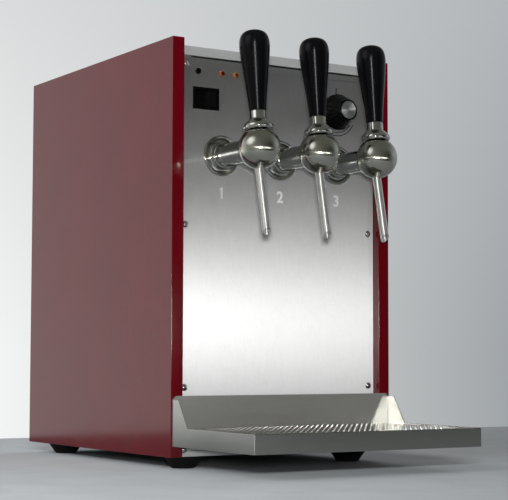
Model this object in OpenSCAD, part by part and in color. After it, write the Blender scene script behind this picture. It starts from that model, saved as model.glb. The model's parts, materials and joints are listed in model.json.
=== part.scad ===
// Mulled wine dispenser: a water bath heater with three taps, a drip tray and front controls.
// Millimetres, +Z up, the front faces -Y, the origin is on the table at the centre of the footprint.

/* [Casing] */
// Width over both side panels
body_w = 300; // [290:1:340]
// Depth of the side panels
body_d = 382; // [370:1:440]
// Height of the side panels
body_h = 470; // [460:1:520]
// Thickness of the casing sheet
sheet = 1.5; // [1:0.1:2]
// Width of a side panel's folded edge
edge_w = 15; // [13:0.5:17]
// Depth of the lip folded back inside that edge
lip_d = 20; // [18:0.5:26]
// Front panel's distance behind the side panels' front edge
front_recess = 11; // [9:0.5:14]
// Back panel's distance ahead of the side panels' rear edge
back_recess = 6; // [4:0.5:10]
// Play between a panel and the side panels
panel_play = 0.3; // [0.2:0.05:0.6]
// Leg width of a corner post
post_leg = 16; // [14:0.5:17]
// Leg thickness of a corner post
post_t = 2; // [1.5:0.1:3]
// Height of the base plate's front and rear upstands
upstand_h = 12; // [8:1:20]

/* [Top cover] */
// Height of the side panels above the cover
cover_drop = 6.4; // [4:0.2:12]
// Height of the cover's rim
cover_h = 11; // [8:0.5:16]
// Gap under the cover's rim
cover_gap = 2; // [1:0.25:4]

/* [Feet] */
// Height of a foot
foot_h = 14; // [10:0.5:25]
// Diameter of a foot at the casing
foot_top_d = 46; // [36:1:50]
// Diameter of a foot at the table
foot_low_d = 26; // [20:1:34]
// Distance of a foot's centre from the casing's edges
foot_inset = 36; // [30:1:45]
// Diameter of the recess under a foot
foot_well_d = 11; // [10:0.5:14]
// Depth of the recess under a foot
foot_well = 6; // [5:0.5:8]

/* [Screws] */
// Shank diameter of a screw
screw_d = 4; // [3:0.5:4]
// Length of a screw's shank
screw_l = 12; // [10:0.5:14]
// Head diameter of a screw
screw_head_d = 8; // [7:0.5:9]
// Height of a screw's domed head
screw_head_h = 2.4; // [2:0.2:3]
// Clearance of a screw in its hole
screw_play = 0.1; // [0.05:0.05:0.3]
// Height of the lowest panel screw above the casing's bottom
screw_low = 8; // [6:0.5:16]
// Height of the second panel screw above the casing's bottom
screw_second = 77; // [60:1:110]
// Distance of the top panel screw below the panel's edge
screw_top = 7.6; // [6:0.2:14]

/* [Taps] */
// Distance between two taps
tap_pitch = 80; // [72:1:84]
// Height of the taps above the casing's bottom
tap_rise = 340.5; // [330:0.5:350]
// Distance of a valve ball's centre ahead of the front panel
tap_reach = 82; // [76:1:100]
// Diameter of a valve housing
housing_d = 47.2; // [44:0.2:52]
// Diameter of a valve ball
valve_d = 26; // [24:0.5:28]
// Running clearance around a valve ball
valve_play = 0.3; // [0.2:0.05:0.5]
// Distance of the housing's seam behind its centre
seam_back = 7.5; // [7:0.1:8.5]
// Diameter of a port in the valve
port_d = 6.4; // [5:0.2:7]
// Diameter of a valve seat
seat_d = 20; // [18:0.5:21]
// Distance of a seat's rear face behind the housing's centre
seat_back = 14.5; // [14.2:0.1:16]
// Diameter of a neck
neck_d = 25; // [22:0.5:27]
// Diameter of the collar where a neck meets its housing
collar_d = 28; // [26:0.5:32]
// Distance of the neck's end behind the housing's centre
neck_back = 22; // [21:0.5:26]
// Diameter of the thread through the front panel
thread_d = 20; // [16:0.5:21]
// Length of the thread behind the front panel
thread_l = 38; // [30:1:44]
// Diameter of the spigot that screws into a housing
spigot_d = 16; // [14:0.5:18]
// Radial clearance of turned parts
turn_play = 0.05; // [0.03:0.01:0.1]
// Width across the corners of a lock nut
nut_d = 32; // [28:1:36]
// Height of a lock nut
nut_h = 8; // [6:0.5:12]
// Diameter of a rosette
rosette_d = 47; // [42:0.5:54]
// Thickness of a rosette's web
rosette_t = 2; // [1.5:0.1:3]
// Height of a rosette's hub ahead of the front panel
rosette_h = 10; // [8:0.5:14]
// Diameter of a rosette's hub
hub_d = 30; // [28:0.5:34]
// Diameter of the ring on a neck
ring_d = 27.4; // [26:0.2:30]
// Width of the ring on a neck
ring_w = 3.6; // [2:0.2:6]
// Distance of that ring ahead of the front panel
ring_at = 13; // [11:0.5:20]

/* [Spouts] */
// Outer diameter of a spout
spout_d = 9.8; // [8:0.2:11]
// Wall of a spout
spout_wall = 1; // [0.6:0.1:1.5]
// Lean of a spout forward from the vertical
spout_lean = 12; // [8:0.5:16]
// Length of a spout below the point where it leaves its housing
spout_l = 77; // [50:1:100]
// Depth of a spout's end inside its housing
spout_root = 5; // [4:0.5:6]
// Length that the bevel takes off the front of a spout's end
spout_bevel = 7; // [3:0.5:10]
// Distance of a spout's root behind the housing's centre
spout_set = 0.5; // [0:0.1:2]

/* [Levers] */
// Lean of a closed lever back from the vertical
lever_lean = 5.5; // [4:0.5:7]
// Swing of a lever from closed to open
lever_swing = 30; // [26:1:32]
// Diameter of a lever's stem
stem_d = 8; // [7:0.5:9]
// Clearance of a stem in the housing's slot
slot_play = 0.3; // [0.2:0.05:0.5]
// Gap between the bell and the housing
bell_gap = 1.2; // [0.8:0.1:1.6]
// Diameter of a bell's rim
bell_d = 33.6; // [32:0.2:36]
// Height of a bell's lower edge above the valve's centre
bell_low = 20; // [19:0.2:21]
// Height of the top of a bell's rim above the valve's centre
bell_rim = 26; // [24:0.5:27.5]
// Height of a bell's top above the valve's centre
bell_top = 32; // [31:0.5:38]
// Diameter of a bell's top
bell_top_d = 20; // [18:0.5:24]
// Diameter of a ferrule
ferrule_d = 18.6; // [16:0.2:20]
// Height of a ferrule
ferrule_h = 9; // [6:0.5:12]
// Length of a handle
handle_l = 92.5; // [80:0.5:105]
// Greatest diameter of a handle
handle_d = 34.4; // [30:0.2:38]
// Diameter of a handle at its ferrule
handle_low_d = 19; // [17:0.2:22]
// Length of a handle's rounded crown
crown_l = 19; // [15:0.5:24]
// Depth of a stem inside its handle
stem_grip = 30; // [20:1:45]

/* [Controls] */
// Height of the switch and the knob above the casing's bottom
control_rise = 404.4; // [395:0.2:410]
// Distance of the switch's middle from the left corner posts
switch_x = 17.8; // [17:0.2:25]
// Width of the switch's bezel
bezel_w = 33.5; // [33:0.1:35]
// Height of the switch's bezel
bezel_h = 25.5; // [25:0.1:28]
// Thickness of the switch's bezel
bezel_t = 2; // [1.5:0.1:3]
// Width of the switch's body
switch_w = 30.6; // [30.4:0.1:31]
// Height of the switch's body
switch_h = 22.4; // [22:0.1:23]
// Depth of the switch's body behind the bezel
switch_d = 24; // [20:0.5:32]
// Length of the rocker
rocker_w = 26; // [24:0.2:26]
// Height of the rocker
rocker_h = 19; // [18:0.1:19]
// Gap around the rocker
rocker_play = 1.2; // [1.1:0.1:1.3]
// Tilt of the rocker each way
rocker_tilt = 10; // [8:0.5:11]
// Distance of the rocker's pin behind the front panel's face
rocker_back = 4; // [3:0.2:5]
// Diameter of the rocker's pin
pin_d = 3; // [2:0.2:3.4]
// Height of the lamps above the casing's bottom
lamp_rise = 435.6; // [432:0.2:438]
// Diameter of a lamp's lens
lamp_d = 6.4; // [5:0.2:7]
// Distance of a lens's crown ahead of the front panel
lamp_out = 2.4; // [1.5:0.1:3]
// Diameter of a lamp's body behind the panel
lamp_body_d = 9; // [8:0.5:11]
// Length of a lamp's body behind the panel
lamp_body_l = 14; // [10:0.5:20]
// Distance of the red lamp from the left corner posts
red_x = 39.6; // [38:0.2:45]
// Distance of the amber lamp from the left corner posts
amber_x = 58.2; // [56:0.2:65]
// Distance of the reset button from the left corner posts
reset_x = 8; // [7.8:0.1:10]
// Diameter of the reset button
reset_d = 6.6; // [5:0.2:7]
// Travel of the reset button
reset_travel = 1.5; // [1:0.1:2]
// Height of the reset button ahead of the front panel
reset_out = 2.2; // [2.1:0.1:3]
// Diameter of the limiter behind the front panel
limiter_d = 15; // [13:0.5:15.5]
// Length of the limiter
limiter_l = 24; // [18:0.5:30]
// Clearance of the reset button and lamps in their holes
button_play = 0.1; // [0.05:0.05:0.2]
// Distance of the knob right of the middle
knob_x = 80.5; // [76:0.5:84]
// Diameter of the knob's skirt
knob_d = 43; // [38:0.5:46]
// Diameter of the knob's front edge
knob_front_d = 25.6; // [22:0.2:30]
// Length of the knob
knob_l = 25; // [20:0.5:30]
// Height of the knob's skirt
skirt_h = 5.5; // [4:0.5:8]
// Gap between the knob and the front panel
knob_gap = 1.2; // [0.8:0.1:2]
// Diameter of the knob's disc
disc_d = 21; // [16:0.5:21]
// Thickness of the knob's disc
disc_t = 1; // [0.6:0.1:2]
// Diameter of the thermostat's shaft
shaft_d = 6; // [5:0.5:6]
// Diameter of the thermostat's bush
bush_d = 9.8; // [8.5:0.1:11]
// Width of the thermostat's body
thermostat_w = 34; // [28:0.5:36]
// Depth of the thermostat's body
thermostat_d = 26; // [20:0.5:34]

/* [Drip tray] */
// Width of the tray
tray_w = 297; // [280:1:300]
// Depth of the tray
tray_d = 170.7; // [150:0.5:200]
// Height of the tray's wall
tray_h = 21; // [18:0.5:28]
// Height of the tray's underside above the casing's bottom
tray_rise = 12.5; // [8:0.5:16]
// Thickness of the tray's sheet
tray_t = 1.2; // [0.8:0.1:1.5]
// Gap between the tray and the side panels' front edges
tray_play = 0.3; // [0.2:0.05:0.5]
// Height of the ears above the tray's wall
ear_h = 30.4; // [20:0.2:36]
// Width of an ear at its top
ear_top = 13; // [8:0.5:20]
// Width of an ear at the tray's wall
ear_foot = 33; // [26:0.5:45]
// Height of the splash back above the ears
splash_h = 4.1; // [2:0.1:8]
// Gap between the grille and the tray's walls
grille_play = 0.8; // [0.5:0.1:1]
// Height of the tray's wall above the grille
grille_drop = 1; // [0:0.2:4]
// Diameter of a hole in the grille
hole_d = 6.4; // [4:0.2:7]
// Distance between two holes in the grille
hole_pitch = 10.6; // [10:0.2:16]
// Bare margin around the grille's holes
hole_margin = 9; // [6:0.5:16]
// Width of the hanger
hanger_w = 200; // [190:1:220]
// Height of the hanger's underside above the casing's bottom
hanger_rise = 40; // [36:0.5:44]
// Height of the hanger's back
hanger_back_h = 22; // [20:0.5:26]
// Height of the hanger's front lip
hanger_lip_h = 12; // [10:0.5:14]
// Distance of a hanger screw from the middle
hanger_screw_x = 40; // [30:1:48]
// Distance of a tray hook from the middle
hook_x = 76; // [70:1:80]
// Width of a tray hook
hook_w = 24; // [16:0.5:28]
// Drop of a tray hook behind the hanger's lip
hook_drop = 7; // [4:0.5:8]
// Gap between a tray hook and the hanger's lip
hook_play = 0.4; // [0.3:0.1:1]

/* [Water bath] */
// Width of the tank
tank_w = 224; // [216:1:230]
// Depth of the tank
tank_d = 230; // [224:1:236]
// Height of the tank
tank_h = 314; // [300:1:318]
// Thickness of the tank's sheet
tank_t = 1.2; // [1:0.1:2]
// Height of the tank's floor above the base plate
tank_floor = 25; // [20:1:32]
// Gap between the tank and the back panel
tank_back = 52.5; // [46:0.5:60]
// Thickness of the tank's lid
tank_lid_t = 2; // [1.5:0.1:3]
// Outer diameter of the filler neck
filler_d = 36; // [30:1:44]
// Height of the filler neck
filler_h = 14; // [8:0.5:20]
// Distance of the filler neck right of the middle
filler_x = 40; // [38:0.5:42]
// Outer diameter of a wine coil's tube
coil_d = 10; // [8:0.5:10]
// Wall of a wine coil's tube
coil_wall = 1; // [0.6:0.1:1.5]
// Bend radius of a wine coil
coil_bend = 13; // [12:0.5:13.5]
// Height of the lower bends above the tank's floor
coil_low = 55; // [52:1:70]
// Depth of the upper bends below the tank's rim
coil_top = 30; // [24:1:60]
// Depth of a tube's end in its socket
socket_l = 12; // [8:0.5:14]
// Diameter of the heater's tubes
heater_d = 8.5; // [6:0.5:9]
// Bend radius of a heater tube
heater_bend = 14; // [10:0.5:15]
// Distance between two heater tubes' loops
heater_pitch = 44; // [42:1:50]
// Length of the heater's straight legs inside the tank
heater_l = 170; // [120:1:180]
// Height of the heater above the tank's floor
heater_rise = 21; // [18:0.5:24]
// Thickness of the heater's flange
heater_flange_t = 4; // [3:0.5:6]
// Height of the heater's flange
heater_flange_h = 30; // [24:1:34]
// Length of the heater's terminal pins
heater_pin_l = 12; // [8:0.5:20]
// Diameter of the thermostat's bulb
bulb_d = 6.5; // [5:0.5:8]
// Length of the thermostat's bulb
bulb_l = 110; // [80:1:130]
// Diameter of the bulb's capillary
capillary_d = 2; // [1.5:0.1:3]
// Distance of the bulb right of the knob
bulb_x = 13; // [12:0.5:14]

/* [Rear connections] */
// Length of a wine inlet ahead of the back panel
inlet_l = 36; // [30:0.5:50]
// Diameter of a wine inlet's hose stub
stub_d = 10; // [10:0.5:12]
// Thickness of a wine inlet's hexagon
inlet_hex_h = 7; // [5:0.5:10]
// Width across the corners of a wine inlet's hexagon and nut
inlet_hex_d = 24; // [22:0.5:28]
// Diameter of a wine inlet's thread
inlet_thread_d = 16; // [14:0.5:18]
// Length of a wine inlet's thread
inlet_thread_l = 24; // [20:0.5:28]
// Outer diameter of the drain pipe
drain_d = 14; // [12:0.5:16]
// Wall of the drain pipe
drain_wall = 1.5; // [1:0.1:2]
// Distance of the drain left of the middle
drain_x = 86; // [80:1:96]
// Height of the drain above the tank's floor
drain_rise = 12; // [10:0.5:20]
// Length of the drain pipe beyond the back panel
drain_out = 20; // [16:0.5:26]
// Outer diameter of the drain's cap
cap_d = 22; // [20:0.5:26]
// Length of the drain's cap
cap_l = 16; // [14:0.5:18]
// Distance of the mains inlet's middle from the right corner posts
mains_x = 29; // [25:1:35]
// Height of the mains inlet above the casing's bottom
mains_rise = 60; // [50:1:80]
// Width of the mains inlet's flange
mains_w = 40; // [38:0.5:44]
// Height of the mains inlet's flange
mains_h = 30; // [28:0.5:34]
// Thickness of the mains inlet's flange
mains_t = 3; // [2:0.5:4]
// Wall around the mains inlet's socket
mains_wall = 3; // [2.5:0.1:4]
// Depth of the mains inlet's socket
mains_socket = 18; // [16:0.5:22]
// Length of a mains pin
mains_pin_l = 12; // [9:0.5:13]
// Vent slots in each column
vents = 8; // [4:1:10]
// Length of a vent slot
vent_l = 70; // [40:1:90]
// Height of a vent slot
vent_h = 4; // [3:0.5:5]
// Distance between two vent slots
vent_pitch = 9; // [8:0.5:10]

/* [Hidden] */
$fn = 64;

// Places of the casing
half_w = body_w / 2;
inner_x = half_w - edge_w;
panel_x = inner_x - panel_play;
rear_reach = inlet_l - back_recess;
front_y = (tray_d + tray_play - body_d - rear_reach) / 2;
panel_y = front_y + front_recess;
back_y = front_y + body_d - back_recess;
base_top = foot_h + sheet;
cover_z = foot_h + body_h - cover_drop;
cover_low = cover_z - cover_h;
panel_top = cover_low - cover_gap;
panel_h = panel_top - foot_h;

// Screw columns and rows, the same on the front and the back panel
screw_x = inner_x - post_leg / 2;
screw_high = panel_h - screw_top;
screw_rows = [screw_low, screw_second, (screw_second + screw_high) / 2, screw_high];
screw_hole_d = screw_d + 2 * screw_play;
socket_key_d = 3;
socket_key_h = 1.4;
foot_y = [front_y + foot_inset, front_y + body_d - foot_inset];
foot_x = half_w - foot_inset;

// Places of the taps
tap_xs = tap_pitch * [-1, 0, 1];
tap_z = foot_h + tap_rise;
ball_y = panel_y - tap_reach;
housing_r = housing_d / 2;
valve_r = valve_d / 2;
cavity_r = valve_r + valve_play;
chamber_r = port_d * 0.75;
seat_web = 2;
spigot_l = neck_back - seat_back - seat_web;
collar_w = 4;
neck_end = tap_reach - neck_back;
rosette_play = 0.15;
bead_w = 1.6;
spout_drop = housing_r - spout_d / 6;
slot_w = stem_d + 2 * slot_play;
slot_out = housing_r + bell_gap;

// Angle at which the spout's passage opens into the valve, back from straight down
spout_along = spout_drop * cos(spout_lean) - spout_set * sin(spout_lean);
spout_gap2 = pow(spout_set, 2) + pow(spout_drop, 2) - pow(valve_r, 2);
spout_t = spout_along - sqrt(pow(spout_along, 2) - spout_gap2);
outlet_back = atan2(spout_set + spout_t * sin(spout_lean), spout_drop - spout_t * cos(spout_lean));

// Heights along a lever, from the valve's centre
bell_edge = 0.9;
ferrule_top = bell_top + ferrule_h;
crown_at = ferrule_top + handle_l - crown_l;
handle_top = ferrule_top + handle_l;
stem_top = ferrule_top + stem_grip;
belly_low = [0.2, 0.33];
belly_high = [0.85, 0.72];
crown_side = 0.6;
crown_round = 0.88;

// Places of the controls
control_z = foot_h + control_rise;
lamp_z = foot_h + lamp_rise;
post_x = inner_x - post_leg;
switch_at = switch_x - post_x;
reset_at = reset_x - post_x;
red_at = red_x - post_x;
amber_at = amber_x - post_x;
rocker_side_play = 0.3;
rocker_proud = 2;
rocker_dip = 1.6;
rocker_depth = 7;
rocker_side = 1;
rocker_foot = 10;
rocker_room = 14;
pin_wall = 0.2;
pin_end_play = 0.2;
pin_hole_l = switch_h - 2 * pin_wall;
pin_l = pin_hole_l - 2 * pin_end_play;
reset_bore = 10;
reset_room = 0.5;
shaft_in = 12;
shaft_out = 19;
shaft_end_play = 0.5;
bush_out = 0.6;
bush_play = 0.2;
knob_edge = 1.4;

// Places of the tray and its hanger
tray_y = front_y - tray_play;
tray_z = foot_h + tray_rise;
rim_z = tray_z + tray_h;
lip_y = front_y + tray_play;
hanger_z = foot_h + hanger_rise;
hook_z = hanger_z + hanger_lip_h;
hook_y = lip_y + sheet + hook_play;
hanger_screw_z = hanger_z + hanger_back_h - screw_head_d;
grille_w = tray_w - 2 * (tray_t + grille_play);
grille_l = tray_d - 2 * (tray_t + grille_play);
grille_h = tray_h - tray_t - grille_drop;
bar_seam = 0.05;
row_pitch = hole_pitch * sqrt(3) / 2;
hole_rows = floor((grille_l - 2 * hole_margin - hole_d) / row_pitch);
hole_cols = floor((grille_w - 2 * hole_margin - hole_d) / hole_pitch);

// Places of the water bath
tank_y = back_y - sheet - tank_back - tank_d;
tank_mid = tank_y + tank_d / 2;
tank_top = base_top + tank_h;
floor_z = base_top + tank_floor + tank_t;
lid_z = tank_top + tank_lid_t;
tube_play = 0.2;
coil_pitch = 2 * coil_bend;
coil_side_room = 10;
coil_span = tank_d - 2 * (tank_t + coil_side_room) - coil_d;
coil_passes = 2 * floor((coil_span / coil_pitch + 1) / 2);
coil_rear = tank_mid + (coil_passes - 1) * coil_bend;
coil_front = coil_rear - (coil_passes - 1) * coil_pitch;
coil_low_z = floor_z + coil_low;
coil_top_z = tank_top - coil_top;
elbow_z = tap_z - coil_bend;
heater_z = floor_z + heater_rise;
heater_loops = [-1, 0, 1] * heater_pitch;
heater_flange_w = 2 * (heater_pitch + heater_bend + heater_d);
heater_pin_d = 4;
bulb_px = knob_x + bulb_x;
bulb_y = tank_mid + coil_bend;
bulb_out = 10;
bulb_top_z = lid_z + bulb_out;
capillary_z = control_z + thermostat_w / 4;
capillary_bend = 12;

// Places of the rear connections
drain_z = floor_z + drain_rise;
cap_floor = 4;
cap_depth = cap_l - cap_floor;
mains_z = foot_h + mains_rise;
mains_at = post_x - mains_x;
mains_step = 4;
mains_body_w = mains_w - 2 * mains_step;
mains_body_h = mains_h - 2 * mains_step;
mains_body_l = mains_socket + mains_wall - mains_t;
mains_pin = [2, 4];
mains_pin_at = [[0, -3], [-7, 2.5], [7, 2.5]];
hole_play = 0.2;
vent_side = 53;
vent_x = post_x - vent_side;
vent_drop = 24;
vent_top = panel_top - vent_drop;
block_size = [64, 20, 22];
block_side = 70;
block_x = mains_at - block_side;
block_back = 30;
block_y = back_y - sheet - block_back;
block_wells = 5;
well_d = 7;
well_h = 9;
cut = 1;

// Points of a cubic curve from a to d with handles b and c
function curve(a, b, c, d, steps) = [
    for (k = [0 : steps])
        let (t = k / steps, u = 1 - t)
            u * u * u * a + 3 * u * u * t * b + 3 * u * t * t * c + t * t * t * d
];

// Points of an arc about the axis, from angle a to angle b
function arc(r, at, a, b, steps) = [
    for (k = [0 : steps])
        let (angle = a + (b - a) * k / steps)
            [r * cos(angle), at + r * sin(angle)]
];

// Frames: Z runs ahead of the front panel's face, out of the back panel's face, up a lever, up a spout
module ahead(x, z) translate([x, panel_y, z]) rotate([90, 0, 0]) children();
module behind(x, z) translate([x, back_y, z]) rotate([-90, 0, 0]) children();
module at_valve(i) translate([tap_xs[i], ball_y, tap_z]) children();
module up_lever(i) at_valve(i) rotate([-lever_lean, 0, 0]) children();
module up_spout(i) at_valve(i) translate([0, spout_set, -spout_drop]) rotate([-spout_lean, 0, 0]) children();

// Shared shapes
module block(w, h, from, to) translate([-w / 2, -h / 2, from]) cube([w, h, to - from]);
module rod(d, from, to) translate([0, 0, from]) cylinder(d = d, h = to - from);
module turned(points) rotate_extrude() polygon(points);
module to_back() rotate([-90, 0, 0]) children();
module ring_face(d, wall) difference() { circle(d = d); circle(d = d - 2 * wall); }
module pipe(d, wall, l) linear_extrude(l) ring_face(d, wall);
module bend(d, wall, r, from, sweep)
    rotate([90, 0, 90]) rotate([0, 0, from]) rotate_extrude(angle = sweep) translate([r, 0]) ring_face(d, wall);

module dome_screw() {
    dome_r = (pow(screw_head_d / 2, 2) + pow(screw_head_h, 2)) / (2 * screw_head_h);
    dome_from = asin((dome_r - screw_head_h) / dome_r);
    difference() {
        union() {
            turned(concat([[0, 0]], arc(dome_r, screw_head_h - dome_r, dome_from, 90, 8)));
            rod(screw_d, -screw_l, 0);
        }
        translate([0, 0, screw_head_h - socket_key_h]) cylinder(d = socket_key_d, h = socket_key_h + cut, $fn = 6);
    }
}

// Casing
module base_plate() {
    upstand_w = 2 * (inner_x - post_leg - panel_play);
    inside_d = back_y - panel_y - 2 * sheet;
    color("silver") difference() {
        union() {
            translate([-panel_x, panel_y + sheet, foot_h]) cube([2 * panel_x, inside_d, sheet]);
            for (y = [panel_y + sheet, back_y - 2 * sheet])
                translate([-upstand_w / 2, y, foot_h]) cube([upstand_w, sheet, upstand_h]);
        }
        for (x = [-foot_x, foot_x], y = foot_y) translate([x, y, 0]) rod(screw_hole_d, foot_h - cut, base_top + cut);
    }
}

module side_panel(side) {
    color("firebrick") mirror([side > 0 ? 1 : 0, 0, 0]) translate([-half_w, front_y, foot_h]) difference() {
        cube([edge_w, body_d, body_h]);
        translate([sheet, sheet, sheet]) cube([edge_w - 2 * sheet, body_d - 2 * sheet, body_h - 2 * sheet]);
        translate([edge_w - sheet - cut, lip_d, lip_d])
            cube([sheet + 2 * cut, body_d - 2 * lip_d, body_h - 2 * lip_d]);
    }
}

module panel_hole(d) rod(d, -sheet - cut, cut);

module front_panel() {
    color("lightgray") difference() {
        translate([-panel_x, panel_y, foot_h]) cube([2 * panel_x, sheet, panel_h]);
        for (x = [-screw_x, screw_x], row = screw_rows) ahead(x, foot_h + row) panel_hole(screw_hole_d);
        for (x = tap_xs) ahead(x, tap_z) panel_hole(thread_d + 2 * hole_play);
        for (x = [-hanger_screw_x, hanger_screw_x]) ahead(x, hanger_screw_z) panel_hole(screw_hole_d);
        for (x = [red_at, amber_at]) ahead(x, lamp_z) panel_hole(lamp_d + 2 * button_play);
        ahead(reset_at, lamp_z) panel_hole(reset_d + 2 * button_play);
        ahead(knob_x, control_z) panel_hole(bush_d + 2 * bush_play);
        ahead(switch_at, control_z) block(switch_w + 2 * hole_play, switch_h + 2 * hole_play, -sheet - cut, cut);
    }
}

module back_panel() {
    color("lightgray") difference() {
        translate([-panel_x, back_y - sheet, foot_h]) cube([2 * panel_x, sheet, panel_h]);
        for (x = [-screw_x, screw_x], row = screw_rows) behind(x, foot_h + row) panel_hole(screw_hole_d);
        for (x = tap_xs) behind(x, tap_z) panel_hole(inlet_thread_d + 2 * hole_play);
        behind(-drain_x, drain_z) panel_hole(drain_d + 2 * hole_play);
        behind(mains_at, mains_z)
            block(mains_body_w + 2 * hole_play, mains_body_h + 2 * hole_play, -sheet - cut, cut);
        for (x = [-vent_x, vent_x], k = [0 : vents - 1])
            behind(x, vent_top - k * vent_pitch) block(vent_l, vent_h, -sheet - cut, cut);
    }
}

module top_cover() {
    cover_l = back_y - panel_y;
    color("lightgray") translate([-panel_x, panel_y, cover_low]) difference() {
        cube([2 * panel_x, cover_l, cover_h]);
        translate([sheet, sheet, -cut]) cube([2 * (panel_x - sheet), cover_l - 2 * sheet, cover_h - sheet + cut]);
    }
}

// One corner angle, with its outer corner at the origin and its legs along +X and +Y
module post_angle() {
    difference() {
        cube([post_leg, post_leg, cover_low - base_top]);
        translate([post_t, post_t, -cut]) cube([post_leg, post_leg, cover_low - base_top + 2 * cut]);
    }
}

module corner_posts() {
    color("silver") difference() {
        for (side = [0, 1], end = [0, 1])
            mirror([side, 0, 0])
                translate([-inner_x, end == 0 ? panel_y + sheet : back_y - sheet, base_top])
                    mirror([0, end, 0]) post_angle();
        for (x = [-screw_x, screw_x], row = screw_rows) {
            ahead(x, foot_h + row) rod(screw_hole_d, -sheet - post_t - cut, 0);
            behind(x, foot_h + row) rod(screw_hole_d, -sheet - post_t - cut, 0);
        }
    }
}

module rubber_feet() {
    color("black") for (x = [-foot_x, foot_x], y = foot_y) translate([x, y, 0]) difference() {
        cylinder(d1 = foot_low_d, d2 = foot_top_d, h = foot_h);
        rod(foot_well_d, -cut, foot_well);
        rod(screw_hole_d, 0, foot_h + cut);
    }
}

module casing_screws() {
    color("gainsboro") {
        for (x = [-screw_x, screw_x], row = screw_rows) {
            ahead(x, foot_h + row) dome_screw();
            behind(x, foot_h + row) dome_screw();
        }
        for (x = [-hanger_screw_x, hanger_screw_x])
            ahead(x, hanger_screw_z) translate([0, 0, sheet]) dome_screw();
        for (x = [-foot_x, foot_x], y = foot_y) translate([x, y, foot_well]) rotate([180, 0, 0]) dome_screw();
    }
}

// Drip tray
module tray_hanger() {
    color("silver") difference() {
        translate([-hanger_w / 2, lip_y, hanger_z]) {
            cube([hanger_w, sheet, hanger_lip_h]);
            cube([hanger_w, panel_y - lip_y, sheet]);
            translate([0, panel_y - lip_y - sheet, 0]) cube([hanger_w, sheet, hanger_back_h]);
        }
        for (x = [-hanger_screw_x, hanger_screw_x]) ahead(x, hanger_screw_z) rod(screw_hole_d, -cut, sheet + cut);
    }
}

module tray_ear() {
    rotate([90, 0, 90]) linear_extrude(tray_t)
        polygon([[0, 0], [0, ear_h], [-ear_top, ear_h], [-ear_foot, 0]]);
}

module tray_back() {
    back_h = tray_h + ear_h + splash_h;
    rotate([90, 0, 0]) linear_extrude(tray_t) polygon([
        [-tray_w / 2, 0], [tray_w / 2, 0], [tray_w / 2, back_h - splash_h], [tray_w / 2 - splash_h, back_h],
        [splash_h - tray_w / 2, back_h], [-tray_w / 2, back_h - splash_h]
    ]);
}

module tray_hook() {
    hook_l = hook_y + tray_t - tray_y;
    translate([-hook_w / 2, tray_y, hook_z]) cube([hook_w, hook_l, tray_t]);
    translate([-hook_w / 2, hook_y, hook_z - hook_drop]) cube([hook_w, tray_t, hook_drop]);
}

module drip_tray() {
    color("silver") {
        difference() {
            translate([-tray_w / 2, tray_y - tray_d, tray_z]) cube([tray_w, tray_d, tray_h]);
            translate([tray_t - tray_w / 2, tray_y - tray_d + tray_t, tray_z + tray_t])
                cube([tray_w - 2 * tray_t, tray_d - 2 * tray_t, tray_h]);
        }
        for (x = [-tray_w / 2, tray_w / 2 - tray_t]) translate([x, tray_y, rim_z]) tray_ear();
        translate([0, tray_y, tray_z]) tray_back();
        for (x = [-hook_x, hook_x]) translate([x, 0, 0]) tray_hook();
    }
}

// Holes in staggered rows: every second row has one hole fewer
module grille_holes() {
    for (row = [0 : hole_rows]) {
        count = hole_cols + 1 - row % 2;
        y = (row - hole_rows / 2) * row_pitch;
        for (k = [0 : count - 1]) translate([(k - (count - 1) / 2) * hole_pitch, y]) circle(d = hole_d, $fn = 16);
    }
}

// Perforated sheet on four flat bars that stand on the tray's floor
module drip_grille() {
    grille_y = tray_y - tray_t - grille_play - grille_l;
    bar_h = grille_h - tray_t - bar_seam;
    side_l = grille_l - 2 * (tray_t + bar_seam);
    color("gainsboro") translate([-grille_w / 2, grille_y, tray_z + tray_t]) {
        translate([0, 0, grille_h - tray_t]) difference() {
            cube([grille_w, grille_l, tray_t]);
            translate([grille_w / 2, grille_l / 2, -cut]) linear_extrude(tray_t + 2 * cut) grille_holes();
        }
        for (y = [0, grille_l - tray_t]) translate([0, y, 0]) cube([grille_w, tray_t, bar_h]);
        for (x = [0, grille_w - tray_t]) translate([x, tray_t + bar_seam, 0]) cube([tray_t, side_l, bar_h]);
    }
}

// Controls
module switch_housing() {
    room_w = rocker_w + 2 * rocker_play;
    room_h = rocker_h + 2 * rocker_side_play;
    color("black") ahead(switch_at, control_z) difference() {
        union() {
            block(bezel_w, bezel_h, 0, bezel_t);
            block(switch_w, switch_h, -switch_d, 0);
        }
        block(room_w, room_h, -rocker_room, bezel_t + cut);
        translate([0, 0, -rocker_back]) rotate([90, 0, 0])
            rod(pin_d + 2 * turn_play, -pin_hole_l / 2, pin_hole_l / 2);
    }
}

module power_rocker() {
    top = rocker_back + rocker_proud;
    half = rocker_w / 2;
    color("black") ahead(switch_at, control_z) translate([0, 0, -rocker_back]) rotate([0, -rocker_tilt, 0])
        rotate([90, 0, 0]) {
            linear_extrude(rocker_h, center = true) polygon([
                [-half, top], [0, top - rocker_dip], [half, top], [half, -rocker_side],
                [rocker_foot / 2, -rocker_depth], [-rocker_foot / 2, -rocker_depth], [-half, -rocker_side]
            ]);
            rod(pin_d, -pin_l / 2, pin_l / 2);
        }
}

module limiter_body() {
    color("dimgray") ahead(reset_at, lamp_z) difference() {
        rod(limiter_d, -sheet - limiter_l, -sheet);
        rod(reset_d + 2 * button_play, -sheet - reset_bore, -sheet + cut);
    }
}

module reset_button() {
    foot = -sheet - reset_bore + reset_travel + reset_room;
    edge = reset_d / 2;
    color("black") ahead(reset_at, lamp_z) turned(concat(
        [[0, foot], [edge, foot]],
        curve([edge, reset_out / 2], [edge, reset_out], [edge / 2, reset_out], [0, reset_out], 6)
    ));
}

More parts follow.
